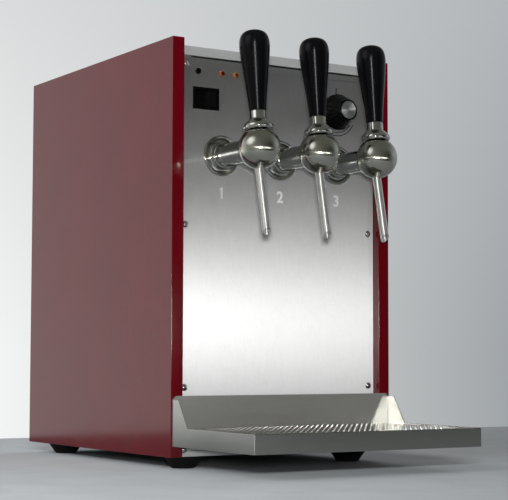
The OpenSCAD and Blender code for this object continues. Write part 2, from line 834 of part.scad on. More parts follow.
module lamp(x) {
    edge = lamp_d / 2;
    ahead(x, lamp_z) {
        turned(concat(
            [[0, -sheet], [edge, -sheet]],
            curve([edge, lamp_out / 4], [edge, lamp_out], [edge / 2, lamp_out], [0, lamp_out], 8)
        ));
        rod(lamp_body_d, -sheet - lamp_body_l, -sheet);
    }
}

module lamp_red() color("red") lamp(red_at);
module lamp_amber() color("orange") lamp(amber_at);

module thermostat_knob() {
    skirt = knob_d / 2;
    front = knob_front_d / 2;
    rim = disc_d / 2 + turn_play;
    bore = shaft_d / 2 + turn_play;
    color("black") ahead(knob_x, control_z) translate([0, 0, knob_gap]) turned([
        [bore, 0], [skirt, 0], [skirt, skirt_h], [skirt - knob_edge, skirt_h + knob_edge],
        [front, knob_l - knob_edge], [front - knob_edge / 2, knob_l], [rim, knob_l],
        [rim, knob_l - disc_t], [0, knob_l - disc_t], [0, shaft_out - knob_gap], [bore, shaft_out - knob_gap]
    ]);
}

module knob_disc() {
    color("silver") ahead(knob_x, control_z) translate([0, 0, knob_gap]) rod(disc_d, knob_l - disc_t, knob_l);
}

module thermostat_shaft() {
    color("gray") ahead(knob_x, control_z) rod(shaft_d, -sheet - shaft_in + shaft_end_play, shaft_out);
}

module thermostat_body() {
    color("dimgray") ahead(knob_x, control_z) difference() {
        union() {
            block(thermostat_w, thermostat_w, -sheet - thermostat_d, -sheet);
            rod(bush_d, -sheet, bush_out);
        }
        rod(shaft_d + 2 * turn_play, -sheet - shaft_in, bush_out + cut);
    }
}

module thermostat_bulb() {
    from_y = panel_y + sheet + thermostat_d;
    bend_y = bulb_y - capillary_bend;
    bend_z = capillary_z - capillary_bend;
    color("darkgoldenrod") translate([bulb_px, 0, 0]) {
        translate([0, from_y, capillary_z]) to_back() rod(capillary_d, 0, bend_y - from_y);
        translate([0, bend_y, bend_z]) bend(capillary_d, capillary_d / 2, capillary_bend, 0, 90);
        translate([0, bulb_y, 0]) rod(capillary_d, bulb_top_z, bend_z);
        translate([0, bulb_y, 0]) rod(bulb_d, bulb_top_z - bulb_l, bulb_top_z);
    }
}

// Water bath
module heater_holes(d, from, to) {
    for (x = heater_loops, side = [-heater_bend, heater_bend])
        translate([x + side, from, heater_z]) to_back() rod(d, 0, to - from);
}

module water_tank() {
    inner_w = tank_w - 2 * tank_t;
    inner_d = tank_d - 2 * tank_t;
    rear = tank_y + tank_d;
    color("silver") difference() {
        translate([-tank_w / 2, tank_y, base_top]) cube([tank_w, tank_d, tank_h]);
        translate([-inner_w / 2, tank_y + tank_t, floor_z]) cube([inner_w, inner_d, tank_h]);
        translate([-inner_w / 2, tank_y + tank_t, base_top - cut]) cube([inner_w, inner_d, tank_floor + cut]);
        heater_holes(heater_d + 2 * tube_play, rear - tank_t - cut, rear + cut);
        translate([-drain_x, rear - tank_t - cut, drain_z]) to_back()
            rod(drain_d - 2 * drain_wall, 0, tank_t + 2 * cut);
    }
}

module tank_lid() {
    color("silver") difference() {
        union() {
            translate([-tank_w / 2, tank_y, tank_top]) cube([tank_w, tank_d, tank_lid_t]);
            translate([filler_x, tank_mid, 0]) rod(filler_d, tank_top, lid_z + filler_h);
        }
        for (x = tap_xs, y = [coil_front, coil_rear])
            translate([x, y, 0]) rod(coil_d + 2 * tube_play, tank_top - cut, lid_z + cut);
        translate([bulb_px, bulb_y, 0]) rod(bulb_d + 2 * tube_play, tank_top - cut, lid_z + cut);
        translate([filler_x, tank_mid, 0]) rod(filler_d - 2 * tank_lid_t, tank_top - cut, lid_z + filler_h + cut);
    }
}

module heating_element() {
    rear = tank_y + tank_d;
    turn_y = rear - heater_l;
    flange_low = heater_z - heater_flange_h / 2;
    color("dimgray") {
        translate([-heater_flange_w / 2, rear, flange_low]) cube([heater_flange_w, heater_flange_t, heater_flange_h]);
        heater_holes(heater_d, turn_y, rear);
        heater_holes(heater_pin_d, rear + heater_flange_t, rear + heater_flange_t + heater_pin_l);
        for (x = heater_loops) translate([x, turn_y, heater_z]) rotate([0, 0, 180])
            rotate_extrude(angle = 180) translate([heater_bend, 0]) circle(d = heater_d);
    }
}

// One tube from the rear inlet, down into the bath, up and down through it and out to the tap
module wine_coil(i) {
    front_end = panel_y + sheet + thread_l - socket_l;
    rear_end = back_y - sheet - inlet_thread_l + socket_l;
    last = coil_passes - 1;
    color("silver") translate([tap_xs[i], 0, 0]) {
        for (k = [0 : last]) {
            top = k == 0 || k == last ? elbow_z : coil_top_z;
            translate([0, coil_rear - k * coil_pitch, coil_low_z]) pipe(coil_d, coil_wall, top - coil_low_z);
        }
        for (k = [0 : 2 : last]) translate([0, coil_rear - k * coil_pitch - coil_bend, coil_low_z])
            bend(coil_d, coil_wall, coil_bend, 180, 180);
        for (k = [1 : 2 : last - 1]) translate([0, coil_rear - k * coil_pitch - coil_bend, coil_top_z])
            bend(coil_d, coil_wall, coil_bend, 0, 180);
        translate([0, coil_rear + coil_bend, elbow_z]) bend(coil_d, coil_wall, coil_bend, 90, 90);
        translate([0, coil_front - coil_bend, elbow_z]) bend(coil_d, coil_wall, coil_bend, 0, 90);
        translate([0, coil_rear + coil_bend, tap_z]) to_back()
            pipe(coil_d, coil_wall, rear_end - coil_rear - coil_bend);
        translate([0, front_end, tap_z]) to_back() pipe(coil_d, coil_wall, coil_front - coil_bend - front_end);
    }
}

module wine_coil_1() wine_coil(0);
module wine_coil_2() wine_coil(1);
module wine_coil_3() wine_coil(2);

// Rear connections
module inlet_fittings() {
    inner_end = -sheet - inlet_thread_l;
    color("gainsboro") for (x = tap_xs) behind(x, tap_z) difference() {
        union() {
            rod(inlet_thread_d, inner_end, 0);
            cylinder(d = inlet_hex_d, h = inlet_hex_h, $fn = 6);
            rod(stub_d, inlet_hex_h, inlet_l);
        }
        rod(coil_d - 2 * coil_wall, inner_end - cut, inlet_l + cut);
        rod(coil_d + 2 * turn_play, inner_end - cut, inner_end + socket_l);
    }
}

module hex_nut(d, bore, h) {
    difference() {
        cylinder(d = d, h = h, $fn = 6);
        rod(bore, -cut, h + cut);
    }
}

module inlet_nuts() {
    color("gainsboro") for (x = tap_xs) behind(x, tap_z) translate([0, 0, -sheet - inlet_hex_h])
        hex_nut(inlet_hex_d, inlet_thread_d + 2 * turn_play, inlet_hex_h);
}

module drain_pipe() {
    from_y = tank_y + tank_d;
    color("silver") translate([-drain_x, from_y, drain_z]) to_back()
        pipe(drain_d, drain_wall, back_y + drain_out - from_y);
}

module drain_cap() {
    color("black") behind(-drain_x, drain_z) translate([0, 0, drain_out - cap_depth]) difference() {
        rod(cap_d, 0, cap_l);
        rod(drain_d + 2 * turn_play, -cut, cap_depth);
    }
}

module mains_inlet() {
    color("black") behind(mains_at, mains_z) difference() {
        union() {
            block(mains_w, mains_h, 0, mains_t);
            block(mains_body_w, mains_body_h, -mains_body_l, 0);
        }
        block(mains_body_w - 2 * mains_wall, mains_body_h - 2 * mains_wall, mains_t - mains_socket, mains_t + cut);
    }
}

module mains_pins() {
    color("gainsboro") behind(mains_at, mains_z) for (at = mains_pin_at) translate(at)
        block(mains_pin[0], mains_pin[1], mains_t - mains_socket, mains_t - mains_socket + mains_pin_l);
}

module terminal_block() {
    color("ivory") translate([block_x, block_y, base_top]) difference() {
        cube(block_size);
        for (k = [1 : block_wells])
            translate([k * block_size[0] / (block_wells + 1), block_size[1] / 2, 0])
                rod(well_d, block_size[2] - well_h, block_size[2] + cut);
    }
}

// Taps
module tap_rosettes() {
    edge = rosette_d / 2;
    hub = hub_d / 2;
    bore = neck_d / 2 + rosette_play;
    web = thread_d / 2 + rosette_play;
    bead = rosette_t * 1.2;
    dish = rosette_t * 0.8;
    hub_foot = rosette_h * 0.55;
    color("gainsboro") for (x = tap_xs) ahead(x, tap_z) turned(concat(
        [[web, 0], [edge, 0], [edge, rosette_t / 2], [edge - bead_w / 2, bead], [edge - bead_w, bead]],
        curve([edge - 2 * bead_w, dish], [hub + bead_w, dish], [hub, rosette_t], [hub, hub_foot], 8),
        [[hub, rosette_h - bead_w / 2], [hub - bead_w / 2, rosette_h]],
        [[bore, rosette_h], [bore, rosette_t], [web, rosette_t]]
    ));
}

module tap_lock_nuts() {
    color("gainsboro") for (x = tap_xs) ahead(x, tap_z) translate([0, 0, -sheet - nut_h])
        hex_nut(nut_d, thread_d + 2 * turn_play, nut_h);
}

module valve_seats() {
    color("white") for (i = [0 : 2]) at_valve(i) difference() {
        to_back() rod(seat_d, seam_back, seat_back);
        sphere(r = cavity_r);
        to_back() rod(port_d, 0, seat_back + cut);
    }
}

module tap_shank(i) {
    tail = -sheet - thread_l;
    color("gainsboro") ahead(tap_xs[i], tap_z) difference() {
        union() {
            rod(thread_d, tail, rosette_t);
            rod(neck_d, rosette_t, neck_end);
            rod(ring_d, ring_at, ring_at + ring_w);
            rod(spigot_d, neck_end, neck_end + spigot_l);
        }
        rod(port_d, tail - cut, neck_end + spigot_l + cut);
        rod(coil_d + 2 * turn_play, tail - cut, tail + socket_l);
    }
}

module tap_shank_1() tap_shank(0);
module tap_shank_2() tap_shank(1);
module tap_shank_3() tap_shank(2);

module tap_body(i) {
    color("gainsboro") at_valve(i) difference() {
        union() {
            intersection() {
                sphere(r = housing_r);
                to_back() rod(housing_d, seam_back, neck_back);
            }
            to_back() rod(collar_d, neck_back - collar_w, neck_back);
        }
        sphere(r = cavity_r);
        to_back() rod(seat_d + 2 * turn_play, seam_back - cut, seat_back);
        to_back() rod(port_d, 0, neck_back);
        to_back() rod(spigot_d + 2 * turn_play, neck_back - spigot_l, neck_back + cut);
    }
}

module tap_body_1() tap_body(0);
module tap_body_2() tap_body(1);
module tap_body_3() tap_body(2);

// Slot in the housing's top that the stem swings through
module lever_slot() {
    open_lean = lever_swing - lever_lean;
    for (angle = [-lever_lean, open_lean]) rotate([angle, 0, 0]) rod(slot_w, 0, slot_out);
    rotate([90, 0, 90]) rotate([0, 0, 90 - lever_lean]) rotate_extrude(angle = lever_swing)
        translate([0, -slot_w / 2]) square([slot_out, slot_w]);
}

module tap_cap(i) {
    color("gainsboro") difference() {
        at_valve(i) difference() {
            intersection() {
                sphere(r = housing_r);
                to_back() rod(housing_d, -housing_r, seam_back);
            }
            sphere(r = cavity_r);
            to_back() rod(2 * cavity_r, 0, seam_back + cut);
            lever_slot();
        }
        up_spout(i) {
            rod(spout_d + 2 * turn_play, -spout_drop, spout_root);
            rod(port_d, 0, spout_drop - valve_r / 2);
        }
    }
}

module tap_cap_1() tap_cap(0);
module tap_cap_2() tap_cap(1);
module tap_cap_3() tap_cap(2);

module tap_spout(i) {
    r = spout_d / 2;
    color("gainsboro") up_spout(i) difference() {
        translate([0, 0, -spout_l]) pipe(spout_d, spout_wall, spout_l + spout_root);
        translate([0, r, -spout_l]) rotate([-atan(spout_bevel / spout_d), 0, 0])
            translate([-spout_d, -3 * spout_d, -spout_d]) cube([2 * spout_d, 4 * spout_d, spout_d]);
    }
}

module tap_spout_1() tap_spout(0);
module tap_spout_2() tap_spout(1);
module tap_spout_3() tap_spout(2);

// Ball and stem: both ports stand one swing short of the passages while the lever is closed
module valve_ball(i) {
    outlet = outlet_back - lever_swing;
    color("silver") difference() {
        union() {
            at_valve(i) rotate([outlet, 0, 0]) sphere(r = valve_r);
            up_lever(i) rod(stem_d, 0, stem_top);
        }
        at_valve(i) {
            rotate([0, 90, 0]) rod(2 * chamber_r, -chamber_r, chamber_r);
            rotate([-lever_swing, 0, 0]) to_back() rod(port_d, 0, valve_d);
            rotate([outlet, 0, 0]) rod(port_d, -valve_d, 0);
        }
    }
}

module valve_ball_1() valve_ball(0);
module valve_ball_2() valve_ball(1);
module valve_ball_3() valve_ball(2);

module lever_bell(i) {
    rim = bell_d / 2;
    top = bell_top_d / 2;
    shoulder = (bell_rim + 2 * bell_top) / 3;
    color("gainsboro") up_lever(i) difference() {
        turned(concat(
            [[0, bell_low], [rim - bell_edge, bell_low], [rim, bell_low + bell_edge], [rim, bell_rim - bell_edge]],
            curve([rim - bell_edge, bell_rim], [top + 2 * bell_edge, bell_rim], [top, shoulder], [top, bell_top], 8),
            [[ferrule_d / 2, bell_top], [ferrule_d / 2, ferrule_top], [0, ferrule_top]]
        ));
        sphere(r = slot_out);
        rod(stem_d + 2 * turn_play, 0, ferrule_top + cut);
    }
}

module lever_bell_1() lever_bell(0);
module lever_bell_2() lever_bell(1);
module lever_bell_3() lever_bell(2);

module tap_handle(i) {
    low = handle_low_d / 2;
    wide = handle_d / 2;
    rise = crown_at - ferrule_top;
    color("black") up_lever(i) difference() {
        turned(concat(
            [[0, ferrule_top]],
            curve(
                [low, ferrule_top],
                [low + belly_low[0] * (wide - low), ferrule_top + belly_low[1] * rise],
                [low + belly_high[0] * (wide - low), ferrule_top + belly_high[1] * rise],
                [wide, crown_at], 10
            ),
            curve(
                [wide, crown_at], [wide, crown_at + crown_side * crown_l],
                [crown_round * wide, handle_top], [0, handle_top], 8
            )
        ));
        rod(stem_d + 2 * turn_play, ferrule_top - cut, stem_top);
    }
}

module tap_handle_1() tap_handle(0);
module tap_handle_2() tap_handle(1);
module tap_handle_3() tap_handle(2);

module left_side_panel() side_panel(-1);
module right_side_panel() side_panel(1);

base_plate();
left_side_panel();
right_side_panel();
front_panel();
back_panel();
top_cover();
corner_posts();
rubber_feet();
casing_screws();
tray_hanger();
drip_tray();
drip_grille();
switch_housing();
power_rocker();
limiter_body();
reset_button();
lamp_red();
lamp_amber();
thermostat_knob();
knob_disc();
thermostat_shaft();
thermostat_body();
thermostat_bulb();
water_tank();
tank_lid();
heating_element();
wine_coil_1();
wine_coil_2();
wine_coil_3();
inlet_fittings();
inlet_nuts();
drain_pipe();
drain_cap();
mains_inlet();
mains_pins();
terminal_block();
tap_rosettes();
tap_lock_nuts();
valve_seats();
tap_shank_1();
tap_shank_2();
tap_shank_3();
tap_body_1();
tap_body_2();
tap_body_3();
tap_cap_1();
tap_cap_2();
tap_cap_3();
tap_spout_1();
tap_spout_2();
tap_spout_3();
valve_ball_1();
valve_ball_2();
valve_ball_3();
lever_bell_1();
lever_bell_2();
lever_bell_3();
tap_handle_1();
tap_handle_2();
tap_handle_3();
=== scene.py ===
import json
import math

import bmesh
import bpy
from mathutils import Matrix, Vector


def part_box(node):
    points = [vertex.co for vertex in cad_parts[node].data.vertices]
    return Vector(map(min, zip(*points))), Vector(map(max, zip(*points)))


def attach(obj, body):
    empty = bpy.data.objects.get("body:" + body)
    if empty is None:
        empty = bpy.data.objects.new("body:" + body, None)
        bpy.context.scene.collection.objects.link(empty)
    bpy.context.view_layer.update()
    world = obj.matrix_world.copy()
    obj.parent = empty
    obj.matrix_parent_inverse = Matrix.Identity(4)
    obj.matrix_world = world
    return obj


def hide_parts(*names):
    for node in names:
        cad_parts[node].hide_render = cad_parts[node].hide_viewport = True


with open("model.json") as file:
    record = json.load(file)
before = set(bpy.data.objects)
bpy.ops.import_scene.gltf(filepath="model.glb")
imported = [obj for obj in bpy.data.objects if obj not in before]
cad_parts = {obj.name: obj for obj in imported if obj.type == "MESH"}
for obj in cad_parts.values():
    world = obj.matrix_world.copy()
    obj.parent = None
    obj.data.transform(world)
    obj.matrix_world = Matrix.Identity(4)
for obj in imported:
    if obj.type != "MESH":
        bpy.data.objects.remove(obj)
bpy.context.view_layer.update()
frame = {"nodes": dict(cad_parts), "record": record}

bl_info = {
    "name": "Drink dispenser looks",
    "version": (1, 0, 0),
    "blender": (4, 5, 0),
    "location": "View3D > Sidebar > Dispenser",
    "description": "Finishes, turned pieces, panel marks and stage of a drink dispenser",
    "category": "Object",
}

MM = 0.001
SLOT_COLOURS = {m["slot"]: tuple(m["base_color"]) for m in frame["record"]["materials"]}
SLOT_OF_NODE = {s["node"]: s["material_slot"] for s in frame["record"]["subparts"]}
JOINTS = frame["record"]["behaviour"]["joints"]
PIVOTS = {j["name"]: Vector(j["pos_m"]) for j in JOINTS if "pos_m" in j}
TAPS = [PIVOTS["tap_%d_swing" % number] for number in (1, 2, 3)]
KNOB_AT = (PIVOTS["thermostat_turn"].x, PIVOTS["thermostat_turn"].z)
PANEL_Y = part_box("front_panel")[0].y
SPLASH_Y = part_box("left_side_panel")[0].y - 1.5 * MM

# Taps and knob, with the lever's heights and lengths in millimetres
LEVER_LEAN = math.radians(5.5)
BELL_TOP = 32.0
FERRULE_TOP = 41.0
CROWN_LENGTH = 19.0
SPOUT_WAY = (0.0, 0.208, 0.978)
BALL_WAY = (1.0, 0.0, 0.0)
KNOB_GAP = 1.2 * MM
KNOB_FACETS = 144

# Marks on the front panel
DIGIT_Z = 305.2 * MM
DIGIT_RAISE = 0.06 * MM
LINE_RAISE = 0.08 * MM
ARC_HALF_WIDTH = 0.45 * MM

# Finishes
GRAIN_UP = (1700.0, 1700.0, 45.0)
GRAIN_ACROSS = (12.0, 1400.0, 1400.0)
LATHE_GRAIN = (160.0, 160.0, 2600.0)
COVER_METALLIC = 0.35
SPLASH_METALLIC = 0.62
SPUN_GREY = (0.86, 0.87, 0.89)
RUBBER_BLACK = (0.006, 0.006, 0.007)
PLASTIC_BLACK = (0.002, 0.002, 0.0022)
TANK_STAIN = (0.5, 0.5, 0.48)
HEATER_STAIN = (0.16, 0.14, 0.12)
COPPER_STAIN = (0.4, 0.2, 0.12)
# Lamp lenses: dark heart colours, painted glow colours for their rims, and the radii where the painted
# glow starts and is full
RED_HEART = (0.035, 0.005, 0.003)
RED_PAINTED_GLOW = (0.42, 0.10, 0.02)
AMBER_HEART = (0.06, 0.018, 0.006)
AMBER_PAINTED_GLOW = (0.50, 0.17, 0.02)
PAINTED_GLOW_START = 2.2 * MM
PAINTED_GLOW_FULL = 3.1 * MM

# Stage
TABLE_TURN = math.radians(-4.63)
TABLE_BACK = 0.578
TABLE_RIGHT = 0.2
CAMERA_AT = (-0.9696, -1.6002, 0.1265)
CAMERA_YAW = math.radians(32.069)
CAMERA_PITCH = math.radians(3.961)
CAMERA_ROLL = math.radians(0.139)
SENSOR_WIDTH = 36.0
AHEAD_OF = (0.531, 0.847, 0.0)
RIGHT_OF = (0.847, -0.531, 0.0)
WINDOW_AT = (-0.846, -0.036, 0.499)
LEFT_WALL_LOW = (0.92, 0.93, 0.925, 1.0)
LEFT_WALL_HIGH = (0.72, 0.73, 0.735, 1.0)
RIGHT_WALL_LOW = (0.29, 0.315, 0.33, 1.0)
RIGHT_WALL_HIGH = (0.41, 0.435, 0.45, 1.0)
ROOM_LEFT = (0.30, 0.305, 0.27, 1.0)
ROOM_RIGHT = (0.03, 0.032, 0.026, 1.0)
CEILING = (0.13, 0.133, 0.115, 1.0)
WINDOW = (1.5, 1.5, 1.55, 1.0)
AMBIENT = (0.28, 0.28, 0.28, 1.0)
NEUTRAL = (1.0, 1.0, 1.0)
WARM = (1.0, 0.985, 0.96)
FAINTLY_WARM = (1.0, 0.99, 0.97)
COOL = (0.93, 0.95, 1.0)


# Property helpers

def colour_property(name, description, default):
    return bpy.props.FloatVectorProperty(
        name=name, description=description, default=default, subtype="COLOR", size=3, min=0.0, max=1.0)


def length_property(name, description, default):
    return bpy.props.FloatProperty(
        name=name, description=description, default=default, min=0.0, unit="LENGTH", subtype="DISTANCE")


class CasingLook(bpy.types.PropertyGroup):
    paint: colour_property("Paint", "Colour of the painted side panels", (0.108, 0.0, 0.004))
    steel: colour_property("Steel", "Colour of the brushed panels", (0.62, 0.63, 0.64))
    cover: colour_property("Cover", "Colour of the satin top cover", (0.48, 0.485, 0.49))
    edge: length_property("Edge radius", "Rounding of the folded sheet's edges", 0.7 * MM)


class TapLook(bpy.types.PropertyGroup):
    chrome: colour_property("Chrome", "Colour of the polished taps", (0.62, 0.62, 0.59))
    ball: colour_property("Ball", "Colour of the ball-shaped valve housings", (0.55, 0.55, 0.49))
    spout: colour_property("Spout", "Colour of the spouts", (0.94, 0.935, 0.92))
    handle: colour_property("Handle", "Colour of the handles", (0.002, 0.002, 0.0025))
    handle_length: length_property("Handle length", "Length of a handle above its ferrule", 92.4 * MM)
    segments: bpy.props.IntProperty(
        name="Segments", description="Facets around a turned piece", default=72, min=16, max=160)


class TrayLook(bpy.types.PropertyGroup):
    steel: colour_property("Steel", "Colour of the drip tray", (0.45, 0.45, 0.425))
    pitch: length_property("Hole pitch", "Distance between the holes in one row of the grille", 7.0 * MM)
    row: length_property("Row pitch", "Distance between two rows of the grille's holes", 4.62 * MM)
    hole: length_property("Hole size", "Diameter of the grille's holes", 4.0 * MM)


class StageLook(bpy.types.PropertyGroup):
    floor: colour_property("Floor", "Colour of the floor", (0.43, 0.455, 0.47))
    width: length_property("Floor width", "Width of the table top", 2.4)
    depth: length_property("Floor depth", "Depth of the table top", 1.75)
    lens: bpy.props.FloatProperty(
        name="Lens", description="Focal length of the camera in millimetres", default=108.22, min=20.0)


# Node helpers

class Tree:
    """Adds nodes to one node tree and links or sets their inputs."""

    def __init__(self, tree):
        self.tree = tree

    def add(self, kind, values=None, **settings):
        node = self.tree.nodes.new(kind)
        for name, value in settings.items():
            setattr(node, name, value)
        for socket, value in (values or {}).items():
            if isinstance(value, bpy.types.NodeSocket):
                self.tree.links.new(value, node.inputs[socket])
            else:
                node.inputs[socket].default_value = value
        return node

    def span(self, value, low, high, to_low, to_high):
        values = {"Value": value, "From Min": low, "From Max": high, "To Min": to_low, "To Max": to_high}
        return self.add("ShaderNodeMapRange", values).outputs["Result"]

    def mask(self, value, low, high):
        """Goes from 0 to 1 as the value goes from low to high."""
        return self.span(value, low, high, 0.0, 1.0)

    def ramp(self, mask, low, high):
        """Goes from low to high as the mask goes from 0 to 1."""
        return self.span(mask, 0.0, 1.0, low, high)

    def blend(self, factor, first, second):
        node = self.add("ShaderNodeMix", {0: factor, 6: first, 7: second}, data_type="RGBA")
        return node.outputs[2]

    def vary(self, mask, colour, first, second):
        """Goes from first times to second times the colour with the mask."""
        return self.blend(mask, shade(colour, first), shade(colour, second))

    def maths(self, operation, first, second):
        return self.add("ShaderNodeMath", {0: first, 1: second}, operation=operation).outputs[0]

    def along(self, vector, direction):
        values = {0: vector, 1: direction}
        return self.add("ShaderNodeVectorMath", values, operation="DOT_PRODUCT").outputs["Value"]

    def scaled(self, vector, factors):
        values = {0: vector, 1: factors}
        return self.add("ShaderNodeVectorMath", values, operation="MULTIPLY").outputs[0]

    def place(self):
        """Where a point lies in its object's own frame."""
        return self.add("ShaderNodeTexCoord").outputs["Object"]


def new_group(name, inputs, outputs):
    group = bpy.data.node_groups.new(name, "ShaderNodeTree")
    for label, kind, default in inputs:
        socket = group.interface.new_socket(label, in_out="INPUT", socket_type=kind)
        socket.default_value = default
    for label in outputs:
        group.interface.new_socket(label, in_out="OUTPUT", socket_type="NodeSocketFloat")
    tree = Tree(group)
    return group, tree, tree.add("NodeGroupInput").outputs, tree.add("NodeGroupOutput")


def brushed_group():
    """Fine streaks along one direction."""
    group, tree, given, out = new_group(
        "Brushed grain", [("Stretch", "NodeSocketVector", (1400.0, 1400.0, 12.0))], ["Streaks"])
    place = tree.place()
    stretched = tree.scaled(place, given["Stretch"])
    values = {"Vector": stretched, "Scale": 1.0, "Detail": 4.0, "Roughness": 0.7}
    fine = tree.add("ShaderNodeTexNoise", values)
    group.links.new(tree.mask(fine.outputs["Fac"], 0.32, 0.68), out.inputs["Streaks"])
    return group


def smudge_group():
    """Soft marks of wiping and handling."""
    group, tree, given, out = new_group("Smudges", [("Scale", "NodeSocketFloat", 30.0)], ["Mask"])
    place = tree.place()
    values = {"Vector": place, "Scale": given["Scale"], "Detail": 5.0, "Distortion": 0.8}
    wide = tree.add("ShaderNodeTexNoise", values)
    finer = tree.maths("MULTIPLY", given["Scale"], 6.0)
    fine = tree.add("ShaderNodeTexNoise", {"Vector": place, "Scale": finer, "Detail": 2.0})
    both = tree.maths("MULTIPLY", wide.outputs["Fac"], fine.outputs["Fac"])
    group.links.new(tree.mask(both, 0.2, 0.36), out.inputs["Mask"])
    return group


def speckle_group():
    """Fine even grain, and a tone that changes slowly."""
    group, tree, given, out = new_group(
        "Speckle", [("Scale", "NodeSocketFloat", 1500.0)], ["Height", "Tone"])
    place = tree.place()
    grain = tree.add("ShaderNodeTexNoise", {"Vector": place, "Scale": given["Scale"], "Detail": 2.0})
    tone = tree.add("ShaderNodeTexNoise", {"Vector": place, "Scale": 14.0, "Detail": 4.0})
    group.links.new(grain.outputs["Fac"], out.inputs["Height"])
    group.links.new(tree.mask(tone.outputs["Fac"], 0.35, 0.65), out.inputs["Tone"])
    return group


GROUP_MAKERS = {"Brushed grain": brushed_group, "Smudges": smudge_group, "Speckle": speckle_group}


def effect(tree, name, values):
    group = bpy.data.node_groups.get(name) or GROUP_MAKERS[name]()
    node = tree.add("ShaderNodeGroup", node_tree=group)
    for label, value in values.items():
        node.inputs[label].default_value = value
    return node.outputs


def shade(colour, factor):
    return tuple(min(1.0, c * factor) for c in colour[:3]) + (1.0,)


def new_material(name):
    material = bpy.data.materials.new(name)
    material.use_nodes = True
    tree = Tree(material.node_tree)
    return material, tree, material.node_tree.nodes["Principled BSDF"]


def put(tree, shader, label, value):
    if isinstance(value, bpy.types.NodeSocket):
        tree.tree.links.new(value, shader.inputs[label])
    else:
        shader.inputs[label].default_value = value


def bumped(tree, shader, height, strength, distance):
    node = tree.add("ShaderNodeBump", {"Height": height, "Strength": strength, "Distance": distance})
    put(tree, shader, "Normal", node.outputs["Normal"])


# Finishes

def brushed_steel(name, colour, stretch, rough, anisotropy, axis, dull_from=None):
    """Steel with a brushed grain, dull where it lies further back than dull_from."""
    material, tree, shader = new_material(name)
    grain = effect(tree, "Brushed grain", {"Stretch": stretch})
    marks = effect(tree, "Smudges", {"Scale": 60.0})
    tone = tree.vary(grain["Streaks"], colour, 0.95, 1.04)
    wiped = tree.ramp(marks["Mask"], 0.0, 0.1)
    put(tree, shader, "Base Color", tree.blend(wiped, tone, shade(colour, 0.7)))
    put(tree, shader, "Roughness", tree.ramp(grain["Streaks"], rough - 0.04, rough + 0.04))
    put(tree, shader, "Metallic", 1.0)
    if dull_from is not None:
        back = tree.along(tree.place(), (0.0, 1.0, 0.0))
        start = dull_from - 0.3 * MM
        end = dull_from - 0.1 * MM
        put(tree, shader, "Metallic", tree.span(back, start, end, 1.0, SPLASH_METALLIC))
    put(tree, shader, "Anisotropic", anisotropy)
    tangent = tree.add("ShaderNodeTangent", direction_type="RADIAL", axis=axis)
    put(tree, shader, "Tangent", tangent.outputs["Tangent"])
    bumped(tree, shader, grain["Streaks"], 0.04, 0.02 * MM)
    return material


def gloss_paint(name, colour):
    material, tree, shader = new_material(name)
    peel = effect(tree, "Speckle", {"Scale": 420.0})
    marks = effect(tree, "Smudges", {"Scale": 7.0})
    put(tree, shader, "Base Color", tree.vary(peel["Tone"], colour, 0.93, 1.06))
    put(tree, shader, "Roughness", tree.ramp(marks["Mask"], 0.11, 0.135))
    bumped(tree, shader, peel["Height"], 0.05, 0.05 * MM)
    return material


def polished_metal(name, colour, rough, scale):
    material, tree, shader = new_material(name)
    marks = effect(tree, "Smudges", {"Scale": scale})
    put(tree, shader, "Base Color", tree.vary(marks["Mask"], colour, 1.0, 0.9))
    put(tree, shader, "Roughness", tree.ramp(marks["Mask"], rough, rough + 0.06))
    put(tree, shader, "Metallic", 1.0)
    return material


def plain_metal(name, colour, rough, scale, stain):
    material, tree, shader = new_material(name)
    grain = effect(tree, "Speckle", {"Scale": scale})
    marks = effect(tree, "Smudges", {"Scale": 24.0})
    tone = tree.vary(grain["Tone"], colour, 0.85, 1.1)
    put(tree, shader, "Base Color", tree.blend(marks["Mask"], tone, shade(stain, 1.0)))
    put(tree, shader, "Roughness", tree.ramp(grain["Tone"], rough - 0.06, rough + 0.06))
    put(tree, shader, "Metallic", 1.0)
    bumped(tree, shader, grain["Height"], 0.08, 0.05 * MM)
    return material


def galvanised_sheet(name, colour):
    material, tree, shader = new_material(name)
    place = tree.place()
    flakes = tree.add("ShaderNodeTexVoronoi", {"Vector": place, "Scale": 130.0})
    grey = tree.add("ShaderNodeRGBToBW", {"Color": flakes.outputs["Color"]}).outputs[0]
    put(tree, shader, "Base Color", tree.vary(grey, colour, 0.72, 1.12))
    put(tree, shader, "Roughness", tree.ramp(grey, 0.3, 0.5))
    put(tree, shader, "Metallic", 1.0)
    return material


def moulded(name, colour, rough, scale, depth, gloss):
    material, tree, shader = new_material(name)
    grain = effect(tree, "Speckle", {"Scale": scale})
    marks = effect(tree, "Smudges", {"Scale": 26.0})
    put(tree, shader, "Base Color", tree.vary(grain["Tone"], colour, 0.85, 1.15))
    put(tree, shader, "Roughness", tree.ramp(marks["Mask"], rough, rough + 0.08))
    put(tree, shader, "Specular IOR Level", gloss)
    bumped(tree, shader, grain["Height"], depth, 0.1 * MM)
    return material


def lamp_lens(name, heart, rim, node):
    """A dark lens with a painted glow towards its rim: its colour turns from the heart colour to the
    brighter rim colour, with no light of its own.
    """
    material, tree, shader = new_material(name)
    place = tree.place()
    facets = tree.add("ShaderNodeTexVoronoi", {"Vector": place, "Scale": 900.0})
    low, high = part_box(node)
    middle = (low + high) / 2
    across = tree.scaled(place, (1.0, 0.0, 1.0))
    values = {0: across, 1: (middle.x, 0.0, middle.z)}
    out = tree.add("ShaderNodeVectorMath", values, operation="DISTANCE").outputs["Value"]
    # painted glow: the lens colour brightens from its heart towards its rim
    painted_glow = tree.mask(out, PAINTED_GLOW_START, PAINTED_GLOW_FULL)
    put(tree, shader, "Base Color", tree.blend(painted_glow, shade(heart, 1.0), shade(rim, 1.0)))
    put(tree, shader, "Roughness", tree.ramp(facets.outputs["Distance"], 0.12, 0.25))
    bumped(tree, shader, facets.outputs["Distance"], 0.3, 0.15 * MM)
    return material


